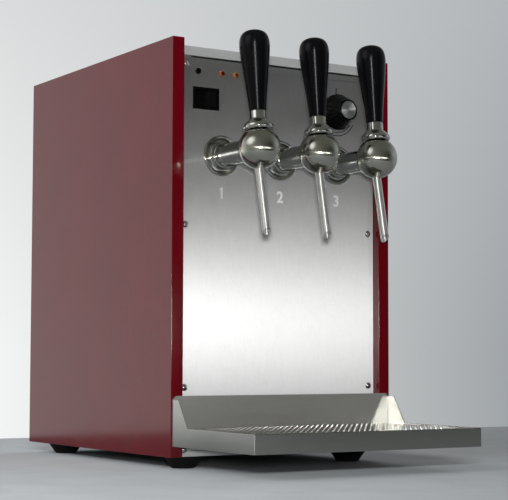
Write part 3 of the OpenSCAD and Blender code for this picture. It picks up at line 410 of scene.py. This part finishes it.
def spun_metal(name, colour):
    material, tree, shader = new_material(name)
    place = tree.place()
    values = {"Vector": place, "Scale": 900.0, "Distortion": 0.4}
    rings = tree.add("ShaderNodeTexWave", values, wave_type="RINGS", rings_direction="Z")
    put(tree, shader, "Base Color", tree.vary(rings.outputs["Fac"], colour, 0.85, 1.1))
    put(tree, shader, "Roughness", tree.ramp(rings.outputs["Fac"], 0.36, 0.44))
    put(tree, shader, "Metallic", 1.0)
    put(tree, shader, "Anisotropic", 0.85)
    put(tree, shader, "Anisotropic Rotation", 0.25)
    tangent = tree.add("ShaderNodeTangent", direction_type="RADIAL", axis="Z")
    put(tree, shader, "Tangent", tangent.outputs["Tangent"])
    return material


def turned_steel(name, colour, way, rough):
    """Steel polished on a lathe, whose gloss spreads along one way."""
    material, tree, shader = new_material(name)
    grain = effect(tree, "Brushed grain", {"Stretch": LATHE_GRAIN})
    put(tree, shader, "Base Color", tree.vary(grain["Streaks"], colour, 0.9, 1.06))
    put(tree, shader, "Roughness", tree.ramp(grain["Streaks"], rough - 0.03, rough + 0.03))
    put(tree, shader, "Metallic", 1.0)
    put(tree, shader, "Anisotropic", 0.9)
    along = tree.add("ShaderNodeCombineXYZ", {"X": way[0], "Y": way[1], "Z": way[2]})
    put(tree, shader, "Tangent", along.outputs["Vector"])
    return material


def make_finish(slot):
    """The material of one of the record's slots."""
    scene = bpy.context.scene
    casing = scene.dispenser_casing
    taps = scene.dispenser_taps
    tray = scene.dispenser_tray
    colour = SLOT_COLOURS[slot]
    makers = {
        "red_paint": lambda: gloss_paint(slot, casing.paint),
        "brushed_steel": lambda: brushed_steel(
            slot, casing.steel, GRAIN_UP, rough=0.46, anisotropy=1.0, axis="Z"),
        "tray_steel": lambda: brushed_steel(
            slot, tray.steel, GRAIN_ACROSS, rough=0.19, anisotropy=0.5, axis="X", dull_from=SPLASH_Y),
        "tank_steel": lambda: plain_metal(slot, colour, rough=0.36, scale=700.0, stain=TANK_STAIN),
        "heater_steel": lambda: plain_metal(slot, colour, rough=0.5, scale=900.0, stain=HEATER_STAIN),
        "zinc_sheet": lambda: galvanised_sheet(slot, colour),
        "screw_steel": lambda: polished_metal(slot, colour, rough=0.14, scale=160.0),
        "chrome": lambda: polished_metal(slot, taps.chrome, rough=0.08, scale=45.0),
        "aluminium": lambda: spun_metal(slot, SPUN_GREY),
        "copper": lambda: plain_metal(slot, colour, rough=0.34, scale=900.0, stain=COPPER_STAIN),
        "black_rubber": lambda: moulded(
            slot, RUBBER_BLACK, rough=0.72, scale=1400.0, depth=0.3, gloss=0.2),
        "black_plastic": lambda: moulded(
            slot, PLASTIC_BLACK, rough=0.24, scale=2200.0, depth=0.1, gloss=0.12),
        "handle_black": lambda: moulded(
            slot, taps.handle, rough=0.15, scale=300.0, depth=0.003, gloss=0.12),
        "grey_plastic": lambda: moulded(slot, colour, rough=0.5, scale=1600.0, depth=0.2, gloss=0.4),
        "ivory_plastic": lambda: moulded(slot, colour, rough=0.45, scale=1600.0, depth=0.15, gloss=0.5),
        "seat_plastic": lambda: moulded(slot, colour, rough=0.4, scale=1200.0, depth=0.08, gloss=0.5),
        "red_lens": lambda: lamp_lens(slot, RED_HEART, RED_PAINTED_GLOW, "lamp_red"),
        "amber_lens": lambda: lamp_lens(slot, AMBER_HEART, AMBER_PAINTED_GLOW, "lamp_amber"),
    }
    return makers[slot]()


def finish(slot):
    return bpy.data.materials.get("finish." + slot) or named(make_finish(slot), "finish." + slot)


def named(material, name):
    material.name = name
    return material


def dress(piece, material):
    piece.data.materials.clear()
    piece.data.materials.append(material)


# Mesh helpers

def curve(a, b, c, d, steps):
    """Points of a cubic curve from a to d with handles b and c."""
    points = []
    for k in range(steps + 1):
        t = k / steps
        u = 1 - t
        pairs = list(zip((u * u * u, 3 * u * u * t, 3 * u * t * t, t * t * t), (a, b, c, d)))
        points.append(tuple(sum(weight * point[i] for weight, point in pairs) for i in (0, 1)))
    return points


def add_turned(bm, profile, segments, matrix, closed=False, flutes=0):
    """Turns a profile of (radius, height, flute depth) in millimetres around Z into bm."""
    rings = []
    for point in profile:
        radius, height = point[0], point[1]
        depth = point[2] if len(point) > 2 else 0.0
        if radius < 1e-6:
            rings.append([bm.verts.new(matrix @ Vector((0, 0, height * MM)))])
            continue
        ring = []
        for k in range(segments):
            angle = 2 * math.pi * k / segments
            r = radius - depth * (0.5 - 0.5 * math.cos(flutes * angle))
            point = Vector((r * math.cos(angle), r * math.sin(angle), height)) * MM
            ring.append(bm.verts.new(matrix @ point))
        rings.append(ring)
    pairs = list(zip(rings, rings[1:]))
    if closed:
        pairs.append((rings[-1], rings[0]))
    for low, high in pairs:
        for k in range(segments):
            n = (k + 1) % segments
            lower = [low[k % len(low)], low[n % len(low)]]
            upper = [high[n % len(high)], high[k % len(high)]]
            face = list(dict.fromkeys(lower + upper))
            if len(face) > 2:
                bm.faces.new(face)


def add_box(bm, low, high):
    matrix = Matrix.Translation((Vector(low) + Vector(high)) / 2)
    size = Vector(high) - Vector(low)
    bmesh.ops.create_cube(bm, size=1.0, matrix=matrix @ Matrix.Diagonal((*size, 1.0)))


def new_piece(name, bm, material, sharp=35.0):
    bmesh.ops.recalc_face_normals(bm, faces=bm.faces)
    mesh = bpy.data.meshes.new(name)
    bm.to_mesh(mesh)
    bm.free()
    mesh.polygons.foreach_set("use_smooth", [True] * len(mesh.polygons))
    mesh.set_sharp_from_angle(angle=math.radians(sharp))
    piece = bpy.data.objects.new(name, mesh)
    bpy.context.scene.collection.objects.link(piece)
    dress(piece, material)
    return piece


def mesh_of(context, former):
    """Turns a curve or text object into a mesh and removes it."""
    context.scene.collection.objects.link(former)
    mesh = bpy.data.meshes.new_from_object(former.evaluated_get(context.evaluated_depsgraph_get()))
    bm = bmesh.new()
    bm.from_mesh(mesh)
    bpy.data.objects.remove(former)
    bpy.data.meshes.remove(mesh)
    return bm


def up_lever(tap):
    """Frame on a tap's pivot, with Z running up its lever."""
    return Matrix.Translation(TAPS[tap]) @ Matrix.Rotation(-LEVER_LEAN, 4, "X")


def ahead(x, z):
    """Frame on the front panel's face, with Z running out of it."""
    return Matrix.Translation((x, PANEL_Y, z)) @ Matrix.Rotation(math.radians(90), 4, "X")


# Operators

class DISPENSER_OT_finishes(bpy.types.Operator):
    """Gives every solid of the frame the finish of its slot"""

    bl_idname = "dispenser.finishes"
    bl_label = "Finish the solids"

    def execute(self, context):
        for node, piece in frame["nodes"].items():
            dress(piece, finish(SLOT_OF_NODE[node]))
        casing = context.scene.dispenser_casing
        cover = brushed_steel(
            "finish.cover", casing.cover, GRAIN_ACROSS, rough=0.5, anisotropy=0.3, axis="Y")
        shader = cover.node_tree.nodes["Principled BSDF"]
        shader.inputs["Metallic"].default_value = COVER_METALLIC
        dress(frame["nodes"]["top_cover"], cover)
        taps = context.scene.dispenser_taps
        spout = turned_steel("finish.spout", taps.spout, SPOUT_WAY, rough=0.43)
        ball = turned_steel("finish.ball", taps.ball, BALL_WAY, rough=0.17)
        for number in (1, 2, 3):
            dress(frame["nodes"]["tap_spout_%d" % number], spout)
            dress(frame["nodes"]["tap_body_%d" % number], ball)
            dress(frame["nodes"]["tap_cap_%d" % number], ball)
        return {"FINISHED"}


class DISPENSER_OT_edges(bpy.types.Operator):
    """Rounds the edges of the folded sheet and the moulded pieces"""

    bl_idname = "dispenser.edges"
    bl_label = "Round the edges"

    def execute(self, context):
        radius = context.scene.dispenser_casing.edge
        widths = {
            "left_side_panel": radius,
            "right_side_panel": radius,
            "front_panel": radius / 3,
            "back_panel": radius / 3,
            "top_cover": radius,
            "drip_tray": radius,
            "tray_hanger": radius / 2,
            "switch_housing": radius * 0.8,
            "power_rocker": radius,
            "mains_inlet": radius,
            "drain_cap": radius,
        }
        for node, width in widths.items():
            piece = frame["nodes"][node]
            weld = piece.modifiers.new("join", "WELD")
            weld.merge_threshold = 0.001 * MM
            bevel = piece.modifiers.new("round", "BEVEL")
            bevel.width = width
            bevel.segments = 3
            bevel.limit_method = "ANGLE"
            bevel.angle_limit = math.radians(40)
            bevel.harden_normals = True
        return {"FINISHED"}


class DISPENSER_OT_handles(bpy.types.Operator):
    """Turns the three tap handles"""

    bl_idname = "dispenser.handles"
    bl_label = "Turn the handles"

    def execute(self, context):
        look = context.scene.dispenser_taps
        bore = 4.2
        low = 9.5
        wide = 17.2
        chamfer = 0.6
        foot = FERRULE_TOP
        top = foot + look.handle_length / MM
        crown = top - CROWN_LENGTH
        swell = wide - low
        rise = crown - foot
        lower = (low + 0.2 * swell, foot + 0.33 * rise)
        upper = (low + 0.85 * swell, foot + 0.72 * rise)
        side = curve((low, foot + chamfer), lower, upper, (wide, crown), 30)
        shoulder = (wide, crown + 0.6 * CROWN_LENGTH)
        dome = curve((wide, crown), shoulder, (0.88 * wide, top), (0.0, top), 20)
        profile = [(bore, foot), (low - chamfer, foot)] + side + dome[1:]
        for tap in range(3):
            bm = bmesh.new()
            add_turned(bm, profile, look.segments, up_lever(tap))
            piece = new_piece("handle_%d" % (tap + 1), bm, finish("handle_black"))
            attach(piece, "tap_lever_%d" % (tap + 1))
            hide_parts("tap_handle_%d" % (tap + 1))
        return {"FINISHED"}


class DISPENSER_OT_bells(bpy.types.Operator):
    """Turns the dust caps and ferrules under the handles"""

    bl_idname = "dispenser.bells"
    bl_label = "Turn the bells"

    def execute(self, context):
        look = context.scene.dispenser_taps
        bore = 4.1
        mouth = 14.66
        hollow = 24.8
        inner = []
        for k in range(10, 0, -1):
            radius = mouth - (mouth - bore) * k / 10
            inner.append((radius, math.sqrt(hollow ** 2 - radius ** 2)))
        lip = curve((mouth, 20.0), (17.4, 19.8), (17.5, 25.2), (15.4, 26.6), 14)
        waist = curve((15.0, 26.8), (13.8, 28.2), (11.8, 30.2), (10.0, BELL_TOP - 0.6), 12)
        groove = [(9.6, BELL_TOP), (9.3, BELL_TOP + 0.6)]
        ferrule = [(9.3, FERRULE_TOP - 0.7), (9.0, FERRULE_TOP), (bore, FERRULE_TOP)]
        profile = lip + waist + groove + ferrule + [(bore, 25.0)] + inner
        for tap in range(3):
            bm = bmesh.new()
            add_turned(bm, profile, look.segments, up_lever(tap), closed=True)
            piece = new_piece("bell_%d" % (tap + 1), bm, finish("chrome"), 40.0)
            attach(piece, "tap_lever_%d" % (tap + 1))
            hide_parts("lever_bell_%d" % (tap + 1))
        return {"FINISHED"}


class DISPENSER_OT_rosettes(bpy.types.Operator):
    """Turns the wall rosettes of the taps"""

    bl_idname = "dispenser.rosettes"
    bl_label = "Turn the rosettes"

    def execute(self, context):
        look = context.scene.dispenser_taps
        bore = 10.15
        seat = 12.65
        flange = [(bore, 0.0), (23.5, 0.0), (23.5, 1.0), (23.2, 1.8)]
        rim = flange + [(22.5, 2.35), (21.9, 2.4), (21.3, 2.1)]
        dish = curve((20.4, 1.7), (17.2, 1.6), (15.2, 2.0), (15.0, 5.5), 14)
        hub = [(15.0, 8.6), (14.8, 9.5), (14.2, 10.0), (seat, 10.0), (seat, 2.0), (bore, 2.0)]
        bm = bmesh.new()
        for tap in TAPS:
            add_turned(bm, rim + dish + hub, look.segments, ahead(tap.x, tap.z), closed=True)
        piece = new_piece("rosettes", bm, finish("chrome"), 40.0)
        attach(piece, "housing")
        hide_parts("tap_rosettes")
        return {"FINISHED"}


class DISPENSER_OT_knob(bpy.types.Operator):
    """Makes the thermostat knob with its grip, its dot and its spun disc"""

    bl_idname = "dispenser.knob"
    bl_label = "Make the knob"

    def execute(self, context):
        base = ahead(*KNOB_AT) @ Matrix.Translation((0, 0, KNOB_GAP))
        bm = bmesh.new()
        shaft = 3.1
        floor = 24.0
        flute = 0.7
        skirt = [(shaft, 0.0), (21.3, 0.0), (21.5, 0.3), (21.5, 4.7), (21.2, 5.4), (20.1, 6.4)]
        grip = []
        for k in range(11):
            depth = flute * math.sin(math.pi * k / 10)
            grip.append((20.1 - 7.1 * k / 10, 6.9 + 16.6 * k / 10, depth))
        edge = [(12.6, 24.4), (12.0, 24.9), (11.2, 25.0)]
        recess = [(10.55, 25.0), (10.55, floor), (0.0, floor)]
        socket = [(0.0, 17.8), (shaft, 17.8), (shaft, 0.0)]
        add_turned(bm, skirt + grip + edge + recess, KNOB_FACETS, base, flutes=24)
        add_turned(bm, socket, KNOB_FACETS, base)
        bmesh.ops.remove_doubles(bm, verts=bm.verts, dist=1e-6)
        knob = new_piece("knob", bm, finish("black_plastic"))
        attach(knob, "dial")
        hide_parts("thermostat_knob")
        bm = bmesh.new()
        dot = base @ Matrix.Translation((0, 18.6 * MM, 6.4 * MM))
        add_turned(bm, [(0.0, 0.0), (1.2, 0.0), (1.2, 0.5), (0.9, 0.75), (0.0, 0.8)], 24, dot)
        mark = new_piece("knob_dot", bm, finish("seat_plastic"))
        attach(mark, "dial")
        bm = bmesh.new()
        face = [(10.0 * k / 8, 0.35 + 0.5 * (k / 8) ** 2) for k in range(8, -1, -1)]
        add_turned(bm, [(0.0, 0.0), (10.4, 0.0), (10.5, 0.8)] + face, 96, Matrix.Identity(4))
        disc = new_piece("knob_face", bm, finish("aluminium"))
        disc.matrix_world = base @ Matrix.Translation((0, 0, floor * MM))
        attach(disc, "dial")
        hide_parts("knob_disc")
        return {"FINISHED"}


class DISPENSER_OT_grille(bpy.types.Operator):
    """Punches the drip grille with fine staggered holes"""

    bl_idname = "dispenser.grille"
    bl_label = "Punch the grille"

    def execute(self, context):
        look = context.scene.dispenser_tray
        low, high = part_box("drip_grille")
        wall = 1.2 * MM
        border = 6 * MM
        facets = 10
        middle = (low + high) / 2
        half = (high - low) / 2
        sheet = bpy.data.curves.new("grille_sheet", "CURVE")
        sheet.dimensions = "2D"
        sheet.fill_mode = "BOTH"
        sheet.extrude = wall / 2
        outline = [(-half.x, -half.y), (half.x, -half.y), (half.x, half.y), (-half.x, half.y)]
        self.add_loop(sheet, outline)
        margin = border + look.hole / 2
        angles = [2 * math.pi * n / facets for n in range(facets)]
        circle = [(look.hole / 2 * math.cos(a), look.hole / 2 * math.sin(a)) for a in angles]
        rows = int((2 * half.y - 2 * margin) / look.row)
        columns = int((2 * half.x - 2 * margin) / look.pitch)
        for row in range(rows + 1):
            count = columns + 1 - row % 2
            y = (row - rows / 2) * look.row
            for k in range(count):
                x = (k - (count - 1) / 2) * look.pitch
                self.add_loop(sheet, [(x + across, y + along) for across, along in circle])
        former = bpy.data.objects.new("grille_former", sheet)
        bm = mesh_of(context, former)
        bmesh.ops.translate(bm, verts=bm.verts, vec=(middle.x, middle.y, high.z - wall / 2))
        bottom, top = low.z, high.z - wall
        add_box(bm, (low.x, low.y, bottom), (high.x, low.y + wall, top))
        add_box(bm, (low.x, high.y - wall, bottom), (high.x, high.y, top))
        add_box(bm, (low.x, low.y + wall, bottom), (low.x + wall, high.y - wall, top))
        add_box(bm, (high.x - wall, low.y + wall, bottom), (high.x, high.y - wall, top))
        piece = new_piece("grille", bm, finish("tray_steel"), 30.0)
        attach(piece, "grille")
        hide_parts("drip_grille")
        return {"FINISHED"}

    def add_loop(self, sheet, points):
        spline = sheet.splines.new("POLY")
        spline.points.add(len(points) - 1)
        for point, (x, y) in zip(spline.points, points):
            point.co = (x, y, 0.0, 1.0)
        spline.use_cyclic_u = True


class DISPENSER_OT_marks(bpy.types.Operator):
    """Puts the tap numbers, the dial's tick and two thin dark arcs below the knob on the front panel"""

    bl_idname = "dispenser.marks"
    bl_label = "Mark the panel"

    def execute(self, context):
        for tap in range(3):
            bm = self.digit(context, str(tap + 1)) if tap else self.one()
            bm.transform(ahead(TAPS[tap].x, DIGIT_Z) @ Matrix.Translation((0, 0, DIGIT_RAISE)))
            digit = new_piece("digit_%d" % (tap + 1), bm, finish("seat_plastic"))
            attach(digit, "housing")
        bm = bmesh.new()
        x, z = KNOB_AT
        half = 0.6 * MM
        foot = z + 22.0 * MM
        top = z + 30.0 * MM
        add_box(bm, (x - half, PANEL_Y - LINE_RAISE, foot), (x + half, PANEL_Y, top))
        # two thin dark arcs around the lower right of the knob
        for radius in (24.2 * MM, 28.0 * MM):
            self.add_arc(bm, radius, -105.0, -28.0)
        lines = new_piece("dial_lines", bm, finish("black_plastic"))
        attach(lines, "housing")
        return {"FINISHED"}

    def one(self):
        """A one with a flag, drawn from its outline."""
        stem = [(-0.3, 0.0), (1.9, 0.0), (1.9, 13.0), (0.2, 13.0)]
        flag = [(-3.0, 10.4), (-2.2, 8.9), (-0.3, 10.2)]
        outline = stem + flag
        bm = bmesh.new()
        lower = [bm.verts.new((x * MM, y * MM, -DIGIT_RAISE)) for x, y in outline]
        upper = [bm.verts.new((x * MM, y * MM, DIGIT_RAISE)) for x, y in outline]
        bm.faces.new(upper)
        bm.faces.new(lower[::-1])
        for k in range(len(outline)):
            bm.faces.new((lower[k - 1], lower[k], upper[k], upper[k - 1]))
        return bm

    def digit(self, context, text):
        font = bpy.data.curves.new("digit_form", "FONT")
        font.body = text
        font.align_x = "CENTER"
        font.size = 18.5 * MM
        font.offset = 0.4 * MM
        font.extrude = DIGIT_RAISE
        former = bpy.data.objects.new("digit_former", font)
        return mesh_of(context, former)

    def add_arc(self, bm, radius, start, end):
        """A thin raised line around the knob, between two angles in degrees."""
        around = ahead(*KNOB_AT)
        inside = radius - ARC_HALF_WIDTH
        outside = radius + ARC_HALF_WIDTH
        corners = ((inside, 0.0), (outside, 0.0), (outside, LINE_RAISE), (inside, LINE_RAISE))
        steps = 40
        rows = []
        for k in range(steps + 1):
            angle = math.radians(start + (end - start) * k / steps)
            across = []
            for r, up in corners:
                point = Vector((r * math.cos(angle), r * math.sin(angle), up))
                across.append(bm.verts.new(around @ point))
            rows.append(across)
        for first, second in zip(rows, rows[1:]):
            for k in range(4):
                n = (k + 1) % 4
                bm.faces.new((first[k], first[n], second[n], second[k]))
        bm.faces.new(rows[0])
        bm.faces.new(rows[-1][::-1])


class DISPENSER_OT_stage(bpy.types.Operator):
    """Sets the table, the surround, the lamps and the camera"""

    bl_idname = "dispenser.stage"
    bl_label = "Set the stage"

    def execute(self, context):
        look = context.scene.dispenser_stage
        self.table(look)
        self.surround(context.scene)
        self.front_lamps()
        self.fill_lamps()
        self.floor_lamp()
        self.camera(context.scene, look)
        context.scene.view_settings.view_transform = "Standard"
        return {"FINISHED"}

    def table(self, look):
        """A pale table top with painted shade: it darkens towards the right, and polished metal shows a
        darker painted copy of its colour.
        """
        bm = bmesh.new()
        middle = Matrix.Translation((TABLE_RIGHT, TABLE_BACK - look.depth / 2, 0.0))
        turn = Matrix.Rotation(TABLE_TURN, 4, "Z") @ middle
        size = Matrix.Diagonal((look.width, look.depth, 1.0, 1.0))
        bmesh.ops.create_grid(bm, x_segments=1, y_segments=1, size=0.5, matrix=turn @ size)
        material, tree, shader = new_material("table_top")
        tone = effect(tree, "Speckle", {"Scale": 900.0})
        # painted shade: the table darkens towards the right
        painted_right_shade = tree.mask(tree.along(tree.place(), RIGHT_OF), -0.2, 0.7)
        pale = tree.vary(tone["Tone"], look.floor, 0.96, 1.04)
        floor_with_painted_shade = tree.blend(painted_right_shade, pale, shade(look.floor, 0.4))
        # painted shade in reflections: glossy rays see the table at half its colour
        mirrored = tree.add("ShaderNodeLightPath").outputs["Is Glossy Ray"]
        put(tree, shader, "Base Color", tree.blend(mirrored, floor_with_painted_shade, shade(look.floor, 0.5)))
        put(tree, shader, "Roughness", tree.ramp(tone["Height"], 0.5, 0.65))
        put(tree, shader, "Specular IOR Level", 0.0)
        new_piece("table_top", bm, material)

    def surround(self, scene):
        """Pale walls for the camera, and a dim room with one window for polished pieces."""
        world = bpy.data.worlds.new("surround")
        world.use_nodes = True
        scene.world = world
        tree = Tree(world.node_tree)
        way = tree.add("ShaderNodeTexCoord").outputs["Generated"]
        right = tree.along(way, RIGHT_OF)
        behind = tree.along(way, AHEAD_OF)
        up = tree.along(way, (0.0, 0.0, 1.0))
        across = tree.mask(right, -0.18, 0.2)
        high = tree.mask(up, 0.0, 0.22)
        left_wall = tree.blend(high, LEFT_WALL_LOW, LEFT_WALL_HIGH)
        right_wall = tree.blend(high, RIGHT_WALL_LOW, RIGHT_WALL_HIGH)
        pale = tree.blend(across, left_wall, right_wall)
        room = tree.blend(tree.mask(right, -0.9, 0.9), ROOM_LEFT, ROOM_RIGHT)
        walls = tree.blend(tree.mask(behind, 0.3, -0.3), pale, room)
        roofed = tree.blend(tree.mask(up, 0.25, 0.75), walls, CEILING)
        window = tree.mask(tree.along(way, WINDOW_AT), 0.9, 0.97)
        mirrored = tree.blend(window, roofed, WINDOW)
        rays = tree.add("ShaderNodeLightPath").outputs
        shown = tree.blend(rays["Is Camera Ray"], mirrored, pale)
        seen = tree.maths("MAXIMUM", rays["Is Camera Ray"], rays["Is Glossy Ray"])
        seen = tree.maths("MAXIMUM", seen, rays["Is Transmission Ray"])
        light = tree.blend(seen, AMBIENT, shown)
        background = world.node_tree.nodes["Background"]
        world.node_tree.links.new(light, background.inputs["Color"])

    def front_lamps(self):
        """A small lamp near the camera, a broad low one and the strip for the handles."""
        self.lamp("lamp_front", (-0.97, -1.62, 0.205), (0.0, -0.1, 0.2),
                  size=0.13, power=11.8, colour=WARM)
        band = self.lamp("lamp_band", (0.3, -1.87, 0.2), (0.1, -0.1, 0.16),
                         size=0.9, power=1.3, colour=FAINTLY_WARM)
        self.oblong(band, 0.12)
        self.strip()

    def fill_lamps(self):
        """Soft light from left, right and above that leaves no mirror image."""
        left = self.lamp("lamp_left", (-2.1, -0.25, 1.4), (0.0, 0.0, 0.25), size=1.8, power=28.0)
        left.visible_glossy = False
        right = self.lamp("lamp_right", (2.0, 0.7, 1.3), (0.0, 0.0, 0.25), size=1.8, power=20.0)
        right.visible_glossy = False
        top = self.lamp("lamp_top", (0.1, -0.8, 2.2), (0.0, -0.2, 0.0), size=1.4, power=32.0)
        top.visible_glossy = False
        self.link(top, ["table_top"], "EXCLUDE")

    def floor_lamp(self):
        """A low flat lamp for the table only, which leaves the floor under the casing dark."""
        low = self.lamp("lamp_floor", (-2.1, -3.5, 0.95), (0.0, -0.2, 0.0), size=1.2, power=245.0)
        low.visible_glossy = False
        self.oblong(low, 0.15)
        self.link(low, ["table_top"], "INCLUDE")

    def lamp(self, name, place, target, size, power, colour=NEUTRAL):
        light = bpy.data.lights.new(name, "AREA")
        light.shape = "DISK"
        light.size = size
        light.energy = power
        light.color = colour
        lamp = bpy.data.objects.new(name, light)
        lamp.location = place
        lamp.rotation_euler = (Vector(target) - Vector(place)).to_track_quat("-Z", "Y").to_euler()
        lamp.visible_camera = False
        bpy.context.scene.collection.objects.link(lamp)
        return lamp

    def oblong(self, lamp, height):
        lamp.data.shape = "RECTANGLE"
        lamp.data.size_y = height

    def strip(self):
        """A tall narrow lamp that draws one bright line down each handle."""
        lamp = self.lamp("lamp_strip", (-1.335, -2.3, 0.925), (0.0, -0.19, 0.44),
                         size=0.3, power=26.0, colour=COOL)
        self.oblong(lamp, 1.2)
        self.link(lamp, ["handle_1", "handle_2", "handle_3"], "INCLUDE")

    def link(self, lamp, names, state):
        """Lets a lamp light only the named objects, or all but them."""
        group = bpy.data.collections.new(lamp.name + "_receivers")
        for name in names:
            group.objects.link(bpy.data.objects[name])
        for entry in group.collection_objects:
            entry.light_linking.link_state = state
        lamp.light_linking.receiver_collection = group

    def camera(self, scene, look):
        camera = bpy.data.cameras.new("camera")
        camera.sensor_fit = "HORIZONTAL"
        camera.sensor_width = SENSOR_WIDTH
        camera.lens = look.lens
        eye = bpy.data.objects.new("camera", camera)
        sine, cosine = math.sin(CAMERA_YAW), math.cos(CAMERA_YAW)
        flat = math.cos(CAMERA_PITCH)
        forward = Vector((sine * flat, cosine * flat, math.sin(CAMERA_PITCH)))
        level = Vector((cosine, -sine, 0.0))
        upward = level.cross(forward)
        right = math.cos(CAMERA_ROLL) * level + math.sin(CAMERA_ROLL) * upward
        top = math.cos(CAMERA_ROLL) * upward - math.sin(CAMERA_ROLL) * level
        turn = Matrix((right, top, -forward)).transposed().to_4x4()
        eye.matrix_world = Matrix.Translation(CAMERA_AT) @ turn
        scene.collection.objects.link(eye)
        scene.camera = eye


STEPS = ("finishes", "edges", "handles", "bells", "rosettes", "knob", "grille", "marks", "stage")


class DISPENSER_PT_looks(bpy.types.Panel):
    """Lists the sizes, the colours and the steps of the dispenser's looks"""

    bl_idname = "DISPENSER_PT_looks"
    bl_label = "Dispenser"
    bl_space_type = "VIEW_3D"
    bl_region_type = "UI"
    bl_category = "Dispenser"

    def draw(self, context):
        for group in LOOKS:
            look = getattr(context.scene, group)
            box = self.layout.box()
            for name in look.__annotations__:
                box.prop(look, name)
        for step in STEPS:
            self.layout.operator("dispenser." + step)


LOOKS = {
    "dispenser_casing": CasingLook,
    "dispenser_taps": TapLook,
    "dispenser_tray": TrayLook,
    "dispenser_stage": StageLook,
}
CLASSES = (
    CasingLook, TapLook, TrayLook, StageLook,
    DISPENSER_OT_finishes, DISPENSER_OT_edges, DISPENSER_OT_handles, DISPENSER_OT_bells,
    DISPENSER_OT_rosettes, DISPENSER_OT_knob, DISPENSER_OT_grille, DISPENSER_OT_marks,
    DISPENSER_OT_stage, DISPENSER_PT_looks,
)


def register():
    for kind in CLASSES:
        bpy.utils.register_class(kind)
    for name, kind in LOOKS.items():
        setattr(bpy.types.Scene, name, bpy.props.PointerProperty(type=kind))


def unregister():
    for name in LOOKS:
        delattr(bpy.types.Scene, name)
    for kind in reversed(CLASSES):
        bpy.utils.unregister_class(kind)


def main():
    register()
    for step in STEPS:
        getattr(bpy.ops.dispenser, step)()


if __name__ == "__main__":
    main()
